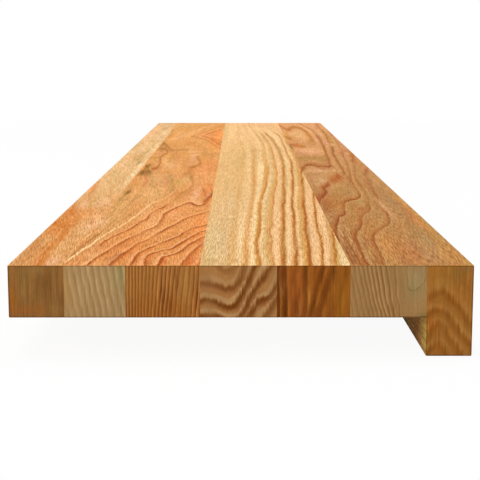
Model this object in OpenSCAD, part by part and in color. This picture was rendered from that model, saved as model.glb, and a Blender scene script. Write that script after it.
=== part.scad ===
// Solid-wood window sill board, edge-glued from full-length staves, with a drop edge along the room side.
// X runs from the window to the room, Y along the window and Z up. The origin is at the middle of the
// outline, level with the underside of the drop edge. All sizes are in millimetres.

/* [Board] */
// Length of the board along the window
board_length = 1000; // [300:10:3000]
// Thickness of the board between its top face and its underside
board_thickness = 23; // [16:1:45]

/* [Staves] */
// Width of stave 1, which meets the window frame
stave_1_width = 24; // [15:0.5:60]
// Width of stave 2
stave_2_width = 26.5; // [15:0.5:60]
// Width of stave 3
stave_3_width = 32; // [15:0.5:60]
// Width of stave 4
stave_4_width = 33; // [15:0.5:60]
// Width of stave 5
stave_5_width = 31.5; // [15:0.5:60]
// Width of stave 6, which carries the drop edge
stave_6_width = 33; // [15:0.5:60]

/* [Drop edge] */
// Thickness of the drop edge from its back face to the room side
drop_edge_thickness = 20; // [12:1:45]
// Depth of the drop edge below the underside of the board
drop_edge_depth = 17; // [5:1:60]

/* [Finish] */
// Radius of the sanded outer arrises
arris_radius = 0.6; // [0.3:0.1:3]

/* [Hidden] */
// Sides of the circle that rounds an arris
arris_sides = 32;
// Widths of the glued pieces, in order from the window to the room
piece_widths = [
    stave_1_width, stave_2_width, stave_3_width,
    stave_4_width, stave_5_width, stave_6_width,
    drop_edge_thickness
];
drop_edge_index = len(piece_widths) - 1;
board_width = widths_before(len(piece_widths));
full_height = board_thickness + drop_edge_depth;
// How far a cutting slab reaches past the blank
slab_margin = 5;

// Sum of the widths of the first few pieces
function widths_before(count) = count <= 0 ? 0 : piece_widths[count - 1] + widths_before(count - 1);

// X of the glue line on the window side of a piece
function glue_line(index) = widths_before(index) - board_width / 2;

// A rectangle from the origin with its four corners rounded
module eased_rectangle(size) {
    straight = [size.x - 2 * arris_radius, size.y - 2 * arris_radius];
    translate([arris_radius, 0]) square([straight.x, size.y]);
    translate([0, arris_radius]) square([size.x, straight.y]);
    for (x = [arris_radius, size.x - arris_radius], y = [arris_radius, size.y - arris_radius])
        translate([x, y]) circle(r = arris_radius, $fn = arris_sides);
}

// A bar along Y with its arrises rounded in section, in plan and in side view
module eased_bar(width, height) {
    intersection() {
        rotate([90, 0, 0])
            translate([0, 0, -board_length])
                linear_extrude(board_length) eased_rectangle([width, height]);
        linear_extrude(height) eased_rectangle([width, board_length]);
        rotate([90, 0, 90])
            linear_extrude(width) eased_rectangle([board_length, height]);
    }
}

// The glued blank after it is sawn to size and its outer arrises are sanded
module sanded_blank() {
    translate([-board_width / 2, -board_length / 2, drop_edge_depth])
        eased_bar(board_width, board_thickness);
    translate([glue_line(drop_edge_index), -board_length / 2, 0])
        eased_bar(drop_edge_thickness, full_height);
}

// The part of the blank between two neighbouring glue lines
module glued_piece(index) {
    first = index == 0 ? slab_margin : 0;
    last = index == drop_edge_index ? slab_margin : 0;
    intersection() {
        sanded_blank();
        translate([glue_line(index) - first, -board_length / 2 - slab_margin, -slab_margin])
            cube([
                piece_widths[index] + first + last,
                board_length + 2 * slab_margin,
                full_height + 2 * slab_margin
            ]);
    }
}

module stave_1() {
    color("#dca567") glued_piece(0);
}

module stave_2() {
    color("#dd9c60") glued_piece(1);
}

module stave_3() {
    color("#e09656") glued_piece(2);
}

module stave_4() {
    color("#e6c48b") glued_piece(3);
}

module stave_5() {
    color("#ebbe82") glued_piece(4);
}

module stave_6() {
    color("#c08650") glued_piece(5);
}

module drop_edge() {
    color("#c4854a") glued_piece(drop_edge_index);
}

stave_1();
stave_2();
stave_3();
stave_4();
stave_5();
stave_6();
drop_edge();
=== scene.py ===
"""Solid-wood window sill board: seven edge-glued staves with their growth rings, end grain and oil finish.

Each stave is modelled over the node of the same name in the frame. Its figure follows growth rings that are
drawn as a few points each: a smooth sheet through them gives every place on the wood a ring number,
and the materials turn that number into dark late wood, pale early wood, pores and relief.
"""

import math
from collections import namedtuple

import bmesh
import bpy
import numpy as np
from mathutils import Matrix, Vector


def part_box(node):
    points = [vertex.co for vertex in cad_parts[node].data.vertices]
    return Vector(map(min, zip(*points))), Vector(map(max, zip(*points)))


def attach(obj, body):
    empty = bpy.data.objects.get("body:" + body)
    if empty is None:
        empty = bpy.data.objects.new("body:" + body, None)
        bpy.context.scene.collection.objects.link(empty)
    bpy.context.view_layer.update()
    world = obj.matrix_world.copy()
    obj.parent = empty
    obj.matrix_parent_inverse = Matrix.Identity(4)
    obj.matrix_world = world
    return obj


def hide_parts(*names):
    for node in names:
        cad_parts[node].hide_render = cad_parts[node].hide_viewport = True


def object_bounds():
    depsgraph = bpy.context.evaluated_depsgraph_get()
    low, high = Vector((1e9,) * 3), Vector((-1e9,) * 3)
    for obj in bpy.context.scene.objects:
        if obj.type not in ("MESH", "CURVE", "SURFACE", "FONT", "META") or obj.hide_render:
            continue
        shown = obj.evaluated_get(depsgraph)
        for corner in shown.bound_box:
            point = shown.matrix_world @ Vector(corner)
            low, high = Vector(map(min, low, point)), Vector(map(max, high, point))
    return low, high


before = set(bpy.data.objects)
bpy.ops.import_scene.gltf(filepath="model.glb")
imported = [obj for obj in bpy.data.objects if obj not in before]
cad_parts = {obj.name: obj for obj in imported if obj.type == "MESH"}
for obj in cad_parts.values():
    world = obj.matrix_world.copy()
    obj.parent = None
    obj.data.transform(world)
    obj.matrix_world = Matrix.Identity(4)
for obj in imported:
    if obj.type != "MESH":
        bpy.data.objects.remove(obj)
CAD_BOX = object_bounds()

bl_info = {
    "name": "Window sill board",
    "version": (1, 0, 0),
    "blender": (4, 5, 0),
    "location": "3D View > Sidebar > Sill board",
    "description": "Builds a solid-wood window sill board with its figure, finish and studio stage",
    "category": "Add Mesh",
}

MM = 0.001

# How much darker the lower arrises are painted: painted shade where these edges turn away from the light
PAINTED_ARRIS_SHADE = 0.5

# How the darkest and the lightest specks change the wood's red, green and blue
DARK_FLECK = (0.60, 0.51, 0.36)
LIGHT_FLECK = (1.31, 1.44, 1.68)
# How far the speckle swings from its middle before it is at its darkest or lightest
FLECK_REACH = 0.18
# Colour of the pale streaks, where resin has bleached a ring
PALE_STREAK = "#FFDCA0"
# How much paler and greener the drop edge's inner face is painted, as painted light on this face in the
# board's shade, in red, green and blue
INNER_FACE_PAINTED_LIGHT = (1.45, 2.35, 1.9)

# Sizes of the board, from the frame
BOARD_LOW, BOARD_HIGH = CAD_BOX
BOARD_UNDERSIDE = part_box("stave_1")[0].z
DROP_EDGE_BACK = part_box("drop_edge")[0].x
NEAR_END_MM = BOARD_LOW.y / MM

# Two places closer than this are the same, in metres
NEARLY = 1e-5
# Added where a number would be divided by zero or have no logarithm
TINY = 1e-9
# Share of an edge's length along an axis from which the edge counts as parallel to it
PARALLEL = 0.999
# Part of a face's normal along an axis from which the face counts as looking that way
FACING = 0.7
# A face belongs to a lower arris if no part of its normal is over the first number and its upward part is
# under the second
ARRIS_NORMAL = (0.985, 0.3)
# Segments of a rounded arris
ARRIS_SEGMENTS = 4
# Share of a stave's length, and of its width, over which an edge is cut into cells
WHOLE_LENGTH = 0.9
MOST_OF_WIDTH = 0.5
# Lowest part of the thickness that is cut into cells
LOWEST_PART = 8 * MM

# How much a sheet of rings may miss the drawn ones, for a smoother bend
SHEET_SLACK = 2.0
# Least and greatest strength of a ring line, and least and greatest pitch of the rings in mm
STRENGTH_RANGE = (-1, 1.4)
PITCH_RANGE = (0.8, 16)
# Depth in mm under the top from which the faces along the grain have one line strength, and that strength
SIDE_DEPTH = 1
SIDE_STRENGTH = 0.45
# How far from the drop edge's back a corner still belongs to it, in mm
BACK_REACH = 0.2

# A stretch of wood that is darker, paler or redder: centre and radii in mm, colour, strength from 0 to 1,
# and turn in degrees
Stain = namedtuple("Stain", "x y radius_x radius_y colour strength turn", defaults=(0,))
# A soft line of darker or paler wood: colour, strength from 0 to 1, half width across the grain in mm, places
Stroke = namedtuple("Stroke", "colour strength width places")
# How many times as long as wide a stroke's brush is
STROKE_STRETCH = 10


def srgb(text):
    """Linear colour of a hexadecimal sRGB one."""
    parts = [int(text[i:i + 2], 16) / 255 for i in (1, 3, 5)]
    return tuple(c / 12.92 if c <= 0.04045 else ((c + 0.055) / 1.055) ** 2.4 for c in parts)


def stain_rows(*rows):
    """Stains from the rows of a table."""
    return tuple(Stain(*row) for row in rows)


def stroke_rows(*rows):
    """Strokes from the rows of a table."""
    return tuple(Stroke(*row) for row in rows)


# Colours of the stains
RED_ORANGE = "#DC5E24"
DEEP_ORANGE = "#EE8A42"
AMBER = "#E09A50"
ORANGE_BROWN = "#B0601E"
RED_BROWN = "#86360E"
OLIVE = "#BE9C54"
KHAKI = "#DBB072"
CREAM = "#FAD8A2"
PINK = "#F0B488"
PEACH = "#FCC088"
GREY_BROWN = "#A88458"

# Growth rings on the top: ring number, how dark its line is (below zero: pale), and places. A place is X in
# the frame and the distance from the near end, in mm
AMBER_RINGS = (
    (2, 0.3, ((-98.5, 60), (-97, 40), (-96, 15), (-95, -5))),
    (1, 0.45, ((-99, 121), (-97.6, 118), (-94.6, 114), (-92, 110), (-90.3, 100), (-88.9, 88), (-87.8, 76),
        (-87.6, 60), (-88.9, 44), (-88.9, 30), (-87.8, 16), (-86.7, -4))),
    (0, 0.3, ((-99, 205), (-97, 190), (-96, 174), (-92.8, 158), (-90.3, 148), (-88.5, 134), (-87.6, 124))),
    (0, 0.2, ((-85, 95), (-82, 55), (-79.5, 20), (-78.5, -4))),
    (-1, 0.35, ((-99, 310), (-97, 275), (-93, 230), (-88, 190), (-82, 150), (-77, 110))),
    (-2, 0.2, ((-99, 375), (-93, 340), (-87, 300), (-82, 255), (-76, 210))),
    (-3, 0.15, ((-99, 450), (-92, 420), (-85, 390), (-79, 360), (-75, 330))),
    (-4.5, 0.12, ((-99, 560), (-91, 520), (-84, 480), (-76, 440))),
    (-6, 0.15, ((-99, 690), (-91, 640), (-84, 590), (-76, 540))),
    (-8, 0.12, ((-99, 880), (-90, 820), (-83, 760), (-76, 700))),
    (-9.5, 0.1, ((-96, 1000), (-86, 940), (-76, 870))),
)
ORANGE_RINGS = (
    (7, 0.8, ((-26, -4), (-25.5, 8), (-24, 18), (-23.5, 25), (-22, 38), (-20, 50), (-17, 62))),
    (6, 1, ((-35.5, -4), (-34.5, 12), (-34.5, 22), (-31, 28), (-28, 35), (-26, 45), (-25, 55), (-22, 65),
        (-20, 73), (-17, 82))),
    (5, 1, ((-41.3, -4), (-42, 12), (-42.3, 22), (-40, 30), (-37, 37), (-33, 42), (-30.5, 50), (-28, 62),
        (-25, 76), (-22, 88), (-20, 97), (-17, 103))),
    (4, 0.9, ((-47, -4), (-46.5, 12), (-47, 22), (-46, 32), (-43, 43), (-40, 54), (-36, 66), (-33, 76),
        (-30, 84), (-28, 96), (-24, 110), (-20, 118), (-17, 123))),
    (3, 0.9, ((-57, -4), (-56, 10), (-54, 17), (-53.5, 26), (-52, 38), (-50.5, 50), (-49, 60), (-46, 68),
        (-43.5, 80), (-41, 92), (-39, 103), (-37, 115), (-34, 125), (-31, 140), (-28.5, 150), (-26, 157),
        (-23, 163), (-20, 172), (-17, 178))),
    (2, 0.9, ((-67, -4), (-65, 12), (-63.5, 24), (-61, 36), (-59, 50), (-57, 63), (-55.5, 74), (-53, 82),
        (-50.5, 88), (-49, 98), (-46, 108), (-44, 117), (-43.5, 130), (-42.7, 150), (-42.7, 163),
        (-41, 175), (-38.5, 187), (-36, 197), (-34, 205), (-31, 216), (-29, 213), (-27, 206), (-24, 200),
        (-22, 204), (-21.5, 222), (-20, 235), (-18, 252))),
    (1, 0.9, ((-66, 65), (-63.5, 78), (-60, 92), (-57.5, 103), (-55.5, 114), (-53.5, 131), (-51, 147),
        (-50.5, 160), (-49.5, 172), (-47.5, 183), (-45, 194))),
    (1, 0.3, ((-43, 212), (-38, 235), (-34, 262), (-31, 290))),
    (1, 0, ((-31, 340), (-34, 450), (-36, 600), (-37, 800), (-36, 1000))),
    (2, 0, ((-20, 300), (-22, 450), (-24, 600), (-24, 800), (-24, 1000))),
    (0, -1, ((-75, 22), (-73.5, 40), (-71, 56), (-69, 75), (-66.5, 92))),
    (0, -0.8, ((-63, 115), (-60, 137), (-57.5, 160), (-56, 180), (-54.5, 195), (-53, 212))),
    (0, -0.25, ((-50, 222), (-46, 240), (-44, 258), (-43, 275))),
    (0, 0, ((-44, 340), (-46, 430), (-50, 600), (-54, 1000))),
    (-1, 0.3, ((-74, 110), (-69, 150), (-66.5, 190), (-65.5, 240))),
    (-1, 0, ((-66, 320), (-68, 450), (-69, 700), (-70, 1000))),
)
STRAW_RINGS = (
    (-2, 0.05, ((-16, 0), (-16, 300), (-15, 600), (-17, 1000))),
    (-1, 0.1, ((-9.5, 0), (-9, 200), (-6, 400), (-5, 600), (-9, 1000))),
    (0, 0.2, ((-3.6, 0), (-3, 60), (-2, 130), (0, 250), (3, 400), (4, 600), (-1, 1000))),
    (1, 0.45, ((2.4, 0), (2.6, 20), (3.8, 100), (4.6, 130), (5.4, 150), (6.7, 175), (8, 240), (9.9, 325),
        (11, 425), (12, 500))),
    (1, 0.15, ((12, 650), (9, 800), (4, 1000))),
    (2, 0.75, ((8.1, -4), (8.1, 20), (7.9, 66), (8.8, 82), (10.2, 104), (11.3, 140), (11.6, 180),
        (12.1, 200), (13.2, 220), (14.3, 244), (15.4, 264), (17.2, 290), (19.3, 355), (21.6, 410))),
    (2, 0.28, ((21.8, 460), (22.1, 550), (23.3, 620), (22.4, 700), (18, 830), (12, 1000))),
    (3, 0.6, ((14.3, -4), (14.3, 20), (14.3, 46), (15.7, 62), (15, 100), (16.6, 120), (17.7, 160),
        (18.2, 184), (19.3, 200), (21, 244), (22.4, 270), (24.3, 300), (26.6, 355), (27.7, 400),
        (28.2, 450), (28.8, 510), (29.3, 600), (28.5, 680), (27.1, 730), (25.4, 775))),
    (3, 0, ((22, 860), (18, 1000))),
    (4, 1, ((18.2, -4), (18.8, 12), (20.2, 50), (21, 70), (21.8, 94), (22.9, 116), (23.8, 140),
        (24.6, 170), (25.4, 200), (26.8, 220), (28.2, 250), (29, 275), (30.4, 325), (32.7, 385),
        (34.3, 425))),
    (4, 0.65, ((35.4, 470), (35.7, 540), (35.4, 620), (34.9, 675), (33.5, 720), (32.1, 760), (29.9, 795))),
    (4, 0, ((26.8, 860), (24, 1000))),
    (5, 1, ((23.8, -4), (24.3, 12), (25.7, 32), (26.3, 60), (27.1, 90), (28.2, 120), (29.3, 144),
        (30.4, 176), (31.3, 204), (32.4, 230), (34.2, 265), (36.6, 320), (38.2, 360), (39.9, 410),
        (41.6, 460))),
    (5, 0.6, ((42.1, 540), (42.4, 610), (42.1, 680), (42.7, 740), (41.5, 790))),
    (5, 0, ((37, 870), (31, 1000))),
    (6, 1.15, ((29.8, -4), (30.2, 12), (31.6, 34), (32.6, 58), (33.2, 82), (34.1, 108), (35.2, 132),
        (36.3, 156), (37.1, 186), (38.2, 216), (39.6, 236), (41.3, 280), (43.8, 335), (45.7, 385),
        (47.5, 415))),
    (7, 1, ((35.8, -4), (36.3, 14), (37.4, 34), (38.5, 54), (39.6, 84), (40.4, 110), (41.6, 144),
        (42.4, 164), (43.8, 188), (44.3, 210), (45.7, 240), (47, 260))),
    (8, 0.9, ((41, -4), (41.8, 12), (43.2, 34), (44.9, 62), (46, 84), (47.8, 112))),
    (6, 0.45, ((48, 560), (47.5, 700))),
    (6, 0.05, ((45, 850), (40, 1000))),
)
RUSSET_RINGS = (
    (5, 0.05, ((75, -4), (77, 60), (82, 100), (87, 150), (90, 220), (94, 290), (100, 350))),
    (6.2, 0.05, ((92, -4), (94, 60), (99, 150))),
    (4, 0.75, ((61.5, -4), (63, 25), (64, 50), (65, 70), (66.5, 85), (69, 97), (72, 105), (76, 115),
        (79, 126), (81.5, 142), (83, 165))),
    (4, 0.4, ((83, 190), (84, 215), (85.5, 240), (86.5, 270), (87.5, 300), (89, 340), (93, 385),
        (100, 430))),
    (3, 0.9, ((54.5, -4), (55, 25), (56, 50), (56.5, 70), (58, 85), (60, 100), (62.5, 113), (64.5, 127),
        (66, 142), (67, 152), (70, 162), (73, 171), (74.5, 180), (76, 195))),
    (3, 0.5, ((77, 213), (79, 230), (80.5, 255), (81.5, 290), (82.5, 330), (84, 365), (87, 400),
        (89, 430), (92, 470), (95, 500), (100, 560))),
    (2, 1, ((47.5, 85), (49, 100), (50, 115), (51.5, 128), (53, 140), (55, 153), (57.5, 157), (59.5, 170),
        (60.5, 185), (61.5, 203), (63, 215), (65, 222), (69, 229), (71.5, 229), (73.5, 238), (75.5, 250))),
    (2, 0.55, ((76.3, 268), (77, 290), (78, 320), (79, 345), (80.5, 365), (82, 390), (84, 420), (86, 460),
        (88, 505), (91, 555), (93, 600), (94.5, 640), (96, 680), (98, 760), (100, 850))),
    (1, 1, ((46.5, 205), (48.5, 226), (51, 241), (54, 251), (56, 264), (56, 280), (56, 292), (58, 300))),
    (1, 0.2, ((61, 312), (63, 330), (67, 345), (71, 358), (74, 370))),
    (1, 0.6, ((78, 390), (80, 430), (80, 490), (82, 555), (85, 600), (88, 680), (90.5, 740), (92.5, 790),
        (94, 850), (95, 1000))),
    (0, 0.9, ((46, 393), (50, 425), (52, 441), (57, 447), (61, 441), (64, 438), (69, 437))),
    (0, 0.65, ((72, 447), (72.5, 475), (75, 505), (77, 560), (78.5, 600), (80, 660), (80.5, 700),
        (82, 750), (82.5, 800), (82.5, 860), (80.5, 900), (76, 960), (74, 1000))),
    (-1, 0, ((52, 735), (53, 655), (65, 655), (73, 740), (72, 850), (63, 925), (55, 890))),
    (-1.5, 0, ((60, 700), (63, 760), (62, 830), (60, 870))),
    (0.35, 0, ((50, 300), (49, 340), (56, 378), (62, 395))),
    (-0.5, 0.1, ((50, 520), (58, 540), (66, 560))),
)

# Bands between the ring lines: ring number, colour and how much it covers, from 0 to 1
CREAM_BAND = "#F4CE94"
PEACH_BAND = "#EFBC84"
KHAKI_BAND = "#D2B078"
GOLD_BAND = "#D69C4C"
TAN_BAND = "#D89C5A"
BROWN_BAND = "#C0863E"
STRAW_BANDS = (
    (-2.6, KHAKI_BAND, 0.5), (-1, CREAM_BAND, 0.1), (-0.5, KHAKI_BAND, 0.3), (-0.1, GOLD_BAND, 0.5),
    (0.15, CREAM_BAND, 0.5), (0.55, CREAM_BAND, 0.9), (0.85, TAN_BAND, 0.55), (1.1, TAN_BAND, 0.5),
    (1.3, CREAM_BAND, 0.9), (1.6, CREAM_BAND, 0.9), (1.75, GOLD_BAND, 1), (2.05, TAN_BAND, 0.9),
    (2.2, CREAM_BAND, 0.8), (2.45, KHAKI_BAND, 0.6), (2.75, GOLD_BAND, 0.7), (3, TAN_BAND, 0.5),
    (3.15, PEACH_BAND, 0.9), (3.6, PEACH_BAND, 0.9), (3.75, BROWN_BAND, 0.7), (4.05, BROWN_BAND, 0.7),
    (4.25, CREAM_BAND, 0.9), (4.7, PEACH_BAND, 0.8), (4.85, BROWN_BAND, 0.5), (5.05, BROWN_BAND, 0.4),
    (5.25, CREAM_BAND, 0.8), (5.5, GOLD_BAND, 0.6), (5.8, BROWN_BAND, 0.8), (6.05, BROWN_BAND, 0.6),
    (6.25, PEACH_BAND, 1), (6.75, PEACH_BAND, 0.9), (7, GOLD_BAND, 0.8), (7.2, PEACH_BAND, 0.9),
)
STRAW_OUTER_BANDS = (
    (7.2, PEACH_BAND, 0), (7.5, PEACH_BAND, 0.9), (7.7, BROWN_BAND, 0.6), (8.05, GOLD_BAND, 1),
    (8.25, CREAM_BAND, 0.9), (9, CREAM_BAND, 1),
)

# Stains and strokes on the top, in the order in which they lie over each other
AMBER_STAINS = stain_rows(
    (-85, 300, 8, 40, KHAKI, 0.6), (-83, 215, 4.5, 26, PINK, 0.45), (-93, 205, 2.6, 26, PINK, 0.45),
    (-88.5, 210, 1.6, 32, OLIVE, 0.5), (-89, 160, 6, 22, DEEP_ORANGE, 0.55), (-80, 150, 4, 30, PEACH, 0.4),
    (-78.6, 178, 1.5, 12, ORANGE_BROWN, 0.5), (-98.3, 135, 1.5, 10, RED_ORANGE, 0.45),
    (-95, 100, 3.5, 16, DEEP_ORANGE, 0.6), (-96, 25, 6, 45, "#CC8E54", 0.6),
    (-82, 98, 4, 40, "#E6B078", 0.45), (-76.5, 70, 1.5, 14, AMBER, 0.5),
    (-76.5, 120, 2.6, 18, "#FCC898", 0.9), (-82, 12, 3.5, 14, PINK, 0.7),
    (-98, 295, 2, 26, DEEP_ORANGE, 0.85), (-88, 370, 9, 50, KHAKI, 0.6), (-78, 400, 2.6, 90, CREAM, 0.8),
    (-85, 495, 5, 34, OLIVE, 0.65), (-81.7, 470, 1.1, 9, GREY_BROWN, 0.85),
    (-85, 503, 1, 9, GREY_BROWN, 0.6), (-89, 520, 1, 10, GREY_BROWN, 0.5),
    (-86.3, 562, 1.2, 10, GREY_BROWN, 0.55), (-82, 594, 2, 24, OLIVE, 0.7), (-96, 645, 3, 30, OLIVE, 0.55),
    (-93, 615, 3, 16, PINK, 0.6), (-93, 500, 3, 50, PEACH, 0.4), (-79, 640, 2.2, 60, CREAM, 0.8),
    (-88, 741, 4, 24, KHAKI, 0.6), (-83.5, 755, 1.5, 26, PEACH, 0.7), (-82, 810, 5, 50, CREAM, 0.7),
    (-95, 830, 4, 100, PEACH, 0.7), (-85.5, 890, 2.6, 20, GREY_BROWN, 0.45), (-80, 880, 3, 26, PEACH, 0.8),
    (-76.6, 960, 1.6, 70, "#E4A25C", 0.95), (-90, 985, 14, 20, KHAKI, 0.5),
)
AMBER_STROKES = stroke_rows(
    ("#CC782A", 0.9, 2.2, ((-99.5, 115), (-97, 123), (-92.5, 112), (-89.5, 94), (-88, 78), (-89, 65),
        (-89.5, 50), (-90, 39), (-89, 22), (-87, 4))),
    ("#CE7428", 0.95, 2.4, ((-97.5, 175), (-93.5, 154), (-89.5, 130))),
    ("#E09A54", 0.6, 2.34, ((-92, 154), (-88, 150), (-87, 166))),
    ("#DE9A58", 0.6, 1.44, ((-85.5, 175), (-81, 171), (-79.5, 186))),
    ("#BE7636", 0.6, 0.38, ((-97, 7), (-96.5, 20), (-96, 33), (-94.5, 53))),
    ("#BE7636", 0.6, 0.38, ((-94, 7), (-93.5, 20), (-93, 30), (-91.5, 56))),
    ("#BE7636", 0.5, 0.38, ((-90.5, 4), (-90, 20), (-89, 30))),
    ("#C88848", 0.5, 0.45, ((-98.5, 47), (-98, 75), (-96.5, 98))),
    ("#D09A58", 0.4, 0.63, ((-96, 197), (-95.5, 246), (-95, 296))),
    ("#B09060", 0.8, 0.95, ((-82, 482), (-82, 456))),
    ("#B89058", 0.7, 1.16, ((-84.5, 543), (-83, 568))),
    ("#C89C58", 0.6, 1.32, ((-83.5, 653), (-79.5, 617))),
    ("#D09C50", 0.6, 1.16, ((-89, 523), (-84.5, 543))),
    ("#D8A060", 0.5, 1.05, ((-81.5, 381), (-80.5, 396))),
    ("#DAA468", 0.6, 1.56, ((-88, 893), (-83, 911))),
    ("#E2A25C", 0.6, 1.2, ((-87, 697), (-77, 697))),
)
ORANGE_STAINS = stain_rows(
    (-69, 190, 8, 100, "#D8A05C", 0.85), (-55, 262, 9, 50, "#E2AE6C", 0.7),
    (-69, 30, 6, 40, "#E0A468", 0.5), (-74, 128, 3, 20, "#F2C090", 0.6),
    (-35, 165, 7, 32, DEEP_ORANGE, 0.35), (-28, 255, 2.6, 40, PINK, 0.6),
    (-20.5, 285, 3.4, 40, "#DC7A36", 0.8), (-21, 110, 5, 60, DEEP_ORANGE, 0.65),
    (-22.3, 9, 3.4, 16, RED_ORANGE, 0.5), (-34.3, 12, 1.8, 10, RED_ORANGE, 0.7),
    (-41.5, 13, 1.5, 10, RED_ORANGE, 0.45), (-55, 20, 2, 13, "#A84A1E", 0.8, 8),
    (-50, 45, 5, 25, DEEP_ORANGE, 0.4), (-18.2, 256, 1.5, 9, "#6E2A06", 1),
    (-75.2, 859, 1.3, 18, "#B88448", 0.9), (-72.2, 266, 1.7, 11, "#5A3804", 1),
    (-54, 340, 10, 46, "#D6A46C", 0.85), (-40, 325, 5, 34, "#DEAA60", 0.7),
    (-52, 440, 16, 60, "#DA9E60", 0.7), (-34, 400, 20, 110, "#D88C46", 0.6),
    (-37, 345, 2.6, 24, "#D8AC6A", 0.7), (-39, 530, 2.8, 60, "#E4A678", 0.75),
    (-54, 455, 5, 30, "#E2A872", 0.6), (-70, 560, 2.6, 14, "#E0A070", 0.7),
    (-70, 470, 3, 30, "#DEA45C", 0.5), (-60, 500, 3, 50, "#D2A65C", 0.5),
    (-48, 620, 20, 60, "#E0A058", 0.7), (-32, 548, 3, 18, "#CF9144", 0.7),
    (-22, 542, 7, 12, "#D0934A", 0.6), (-25, 420, 6, 60, "#EE9A5C", 0.7),
    (-23, 770, 6, 120, "#FA9242", 0.85), (-37, 800, 7, 45, "#F6A268", 0.6),
    (-56, 790, 10, 60, "#F2AC68", 0.5), (-35, 955, 5, 26, "#F0A866", 0.5),
    (-57, 925, 4, 26, "#DDA654", 0.5),
)
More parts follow.
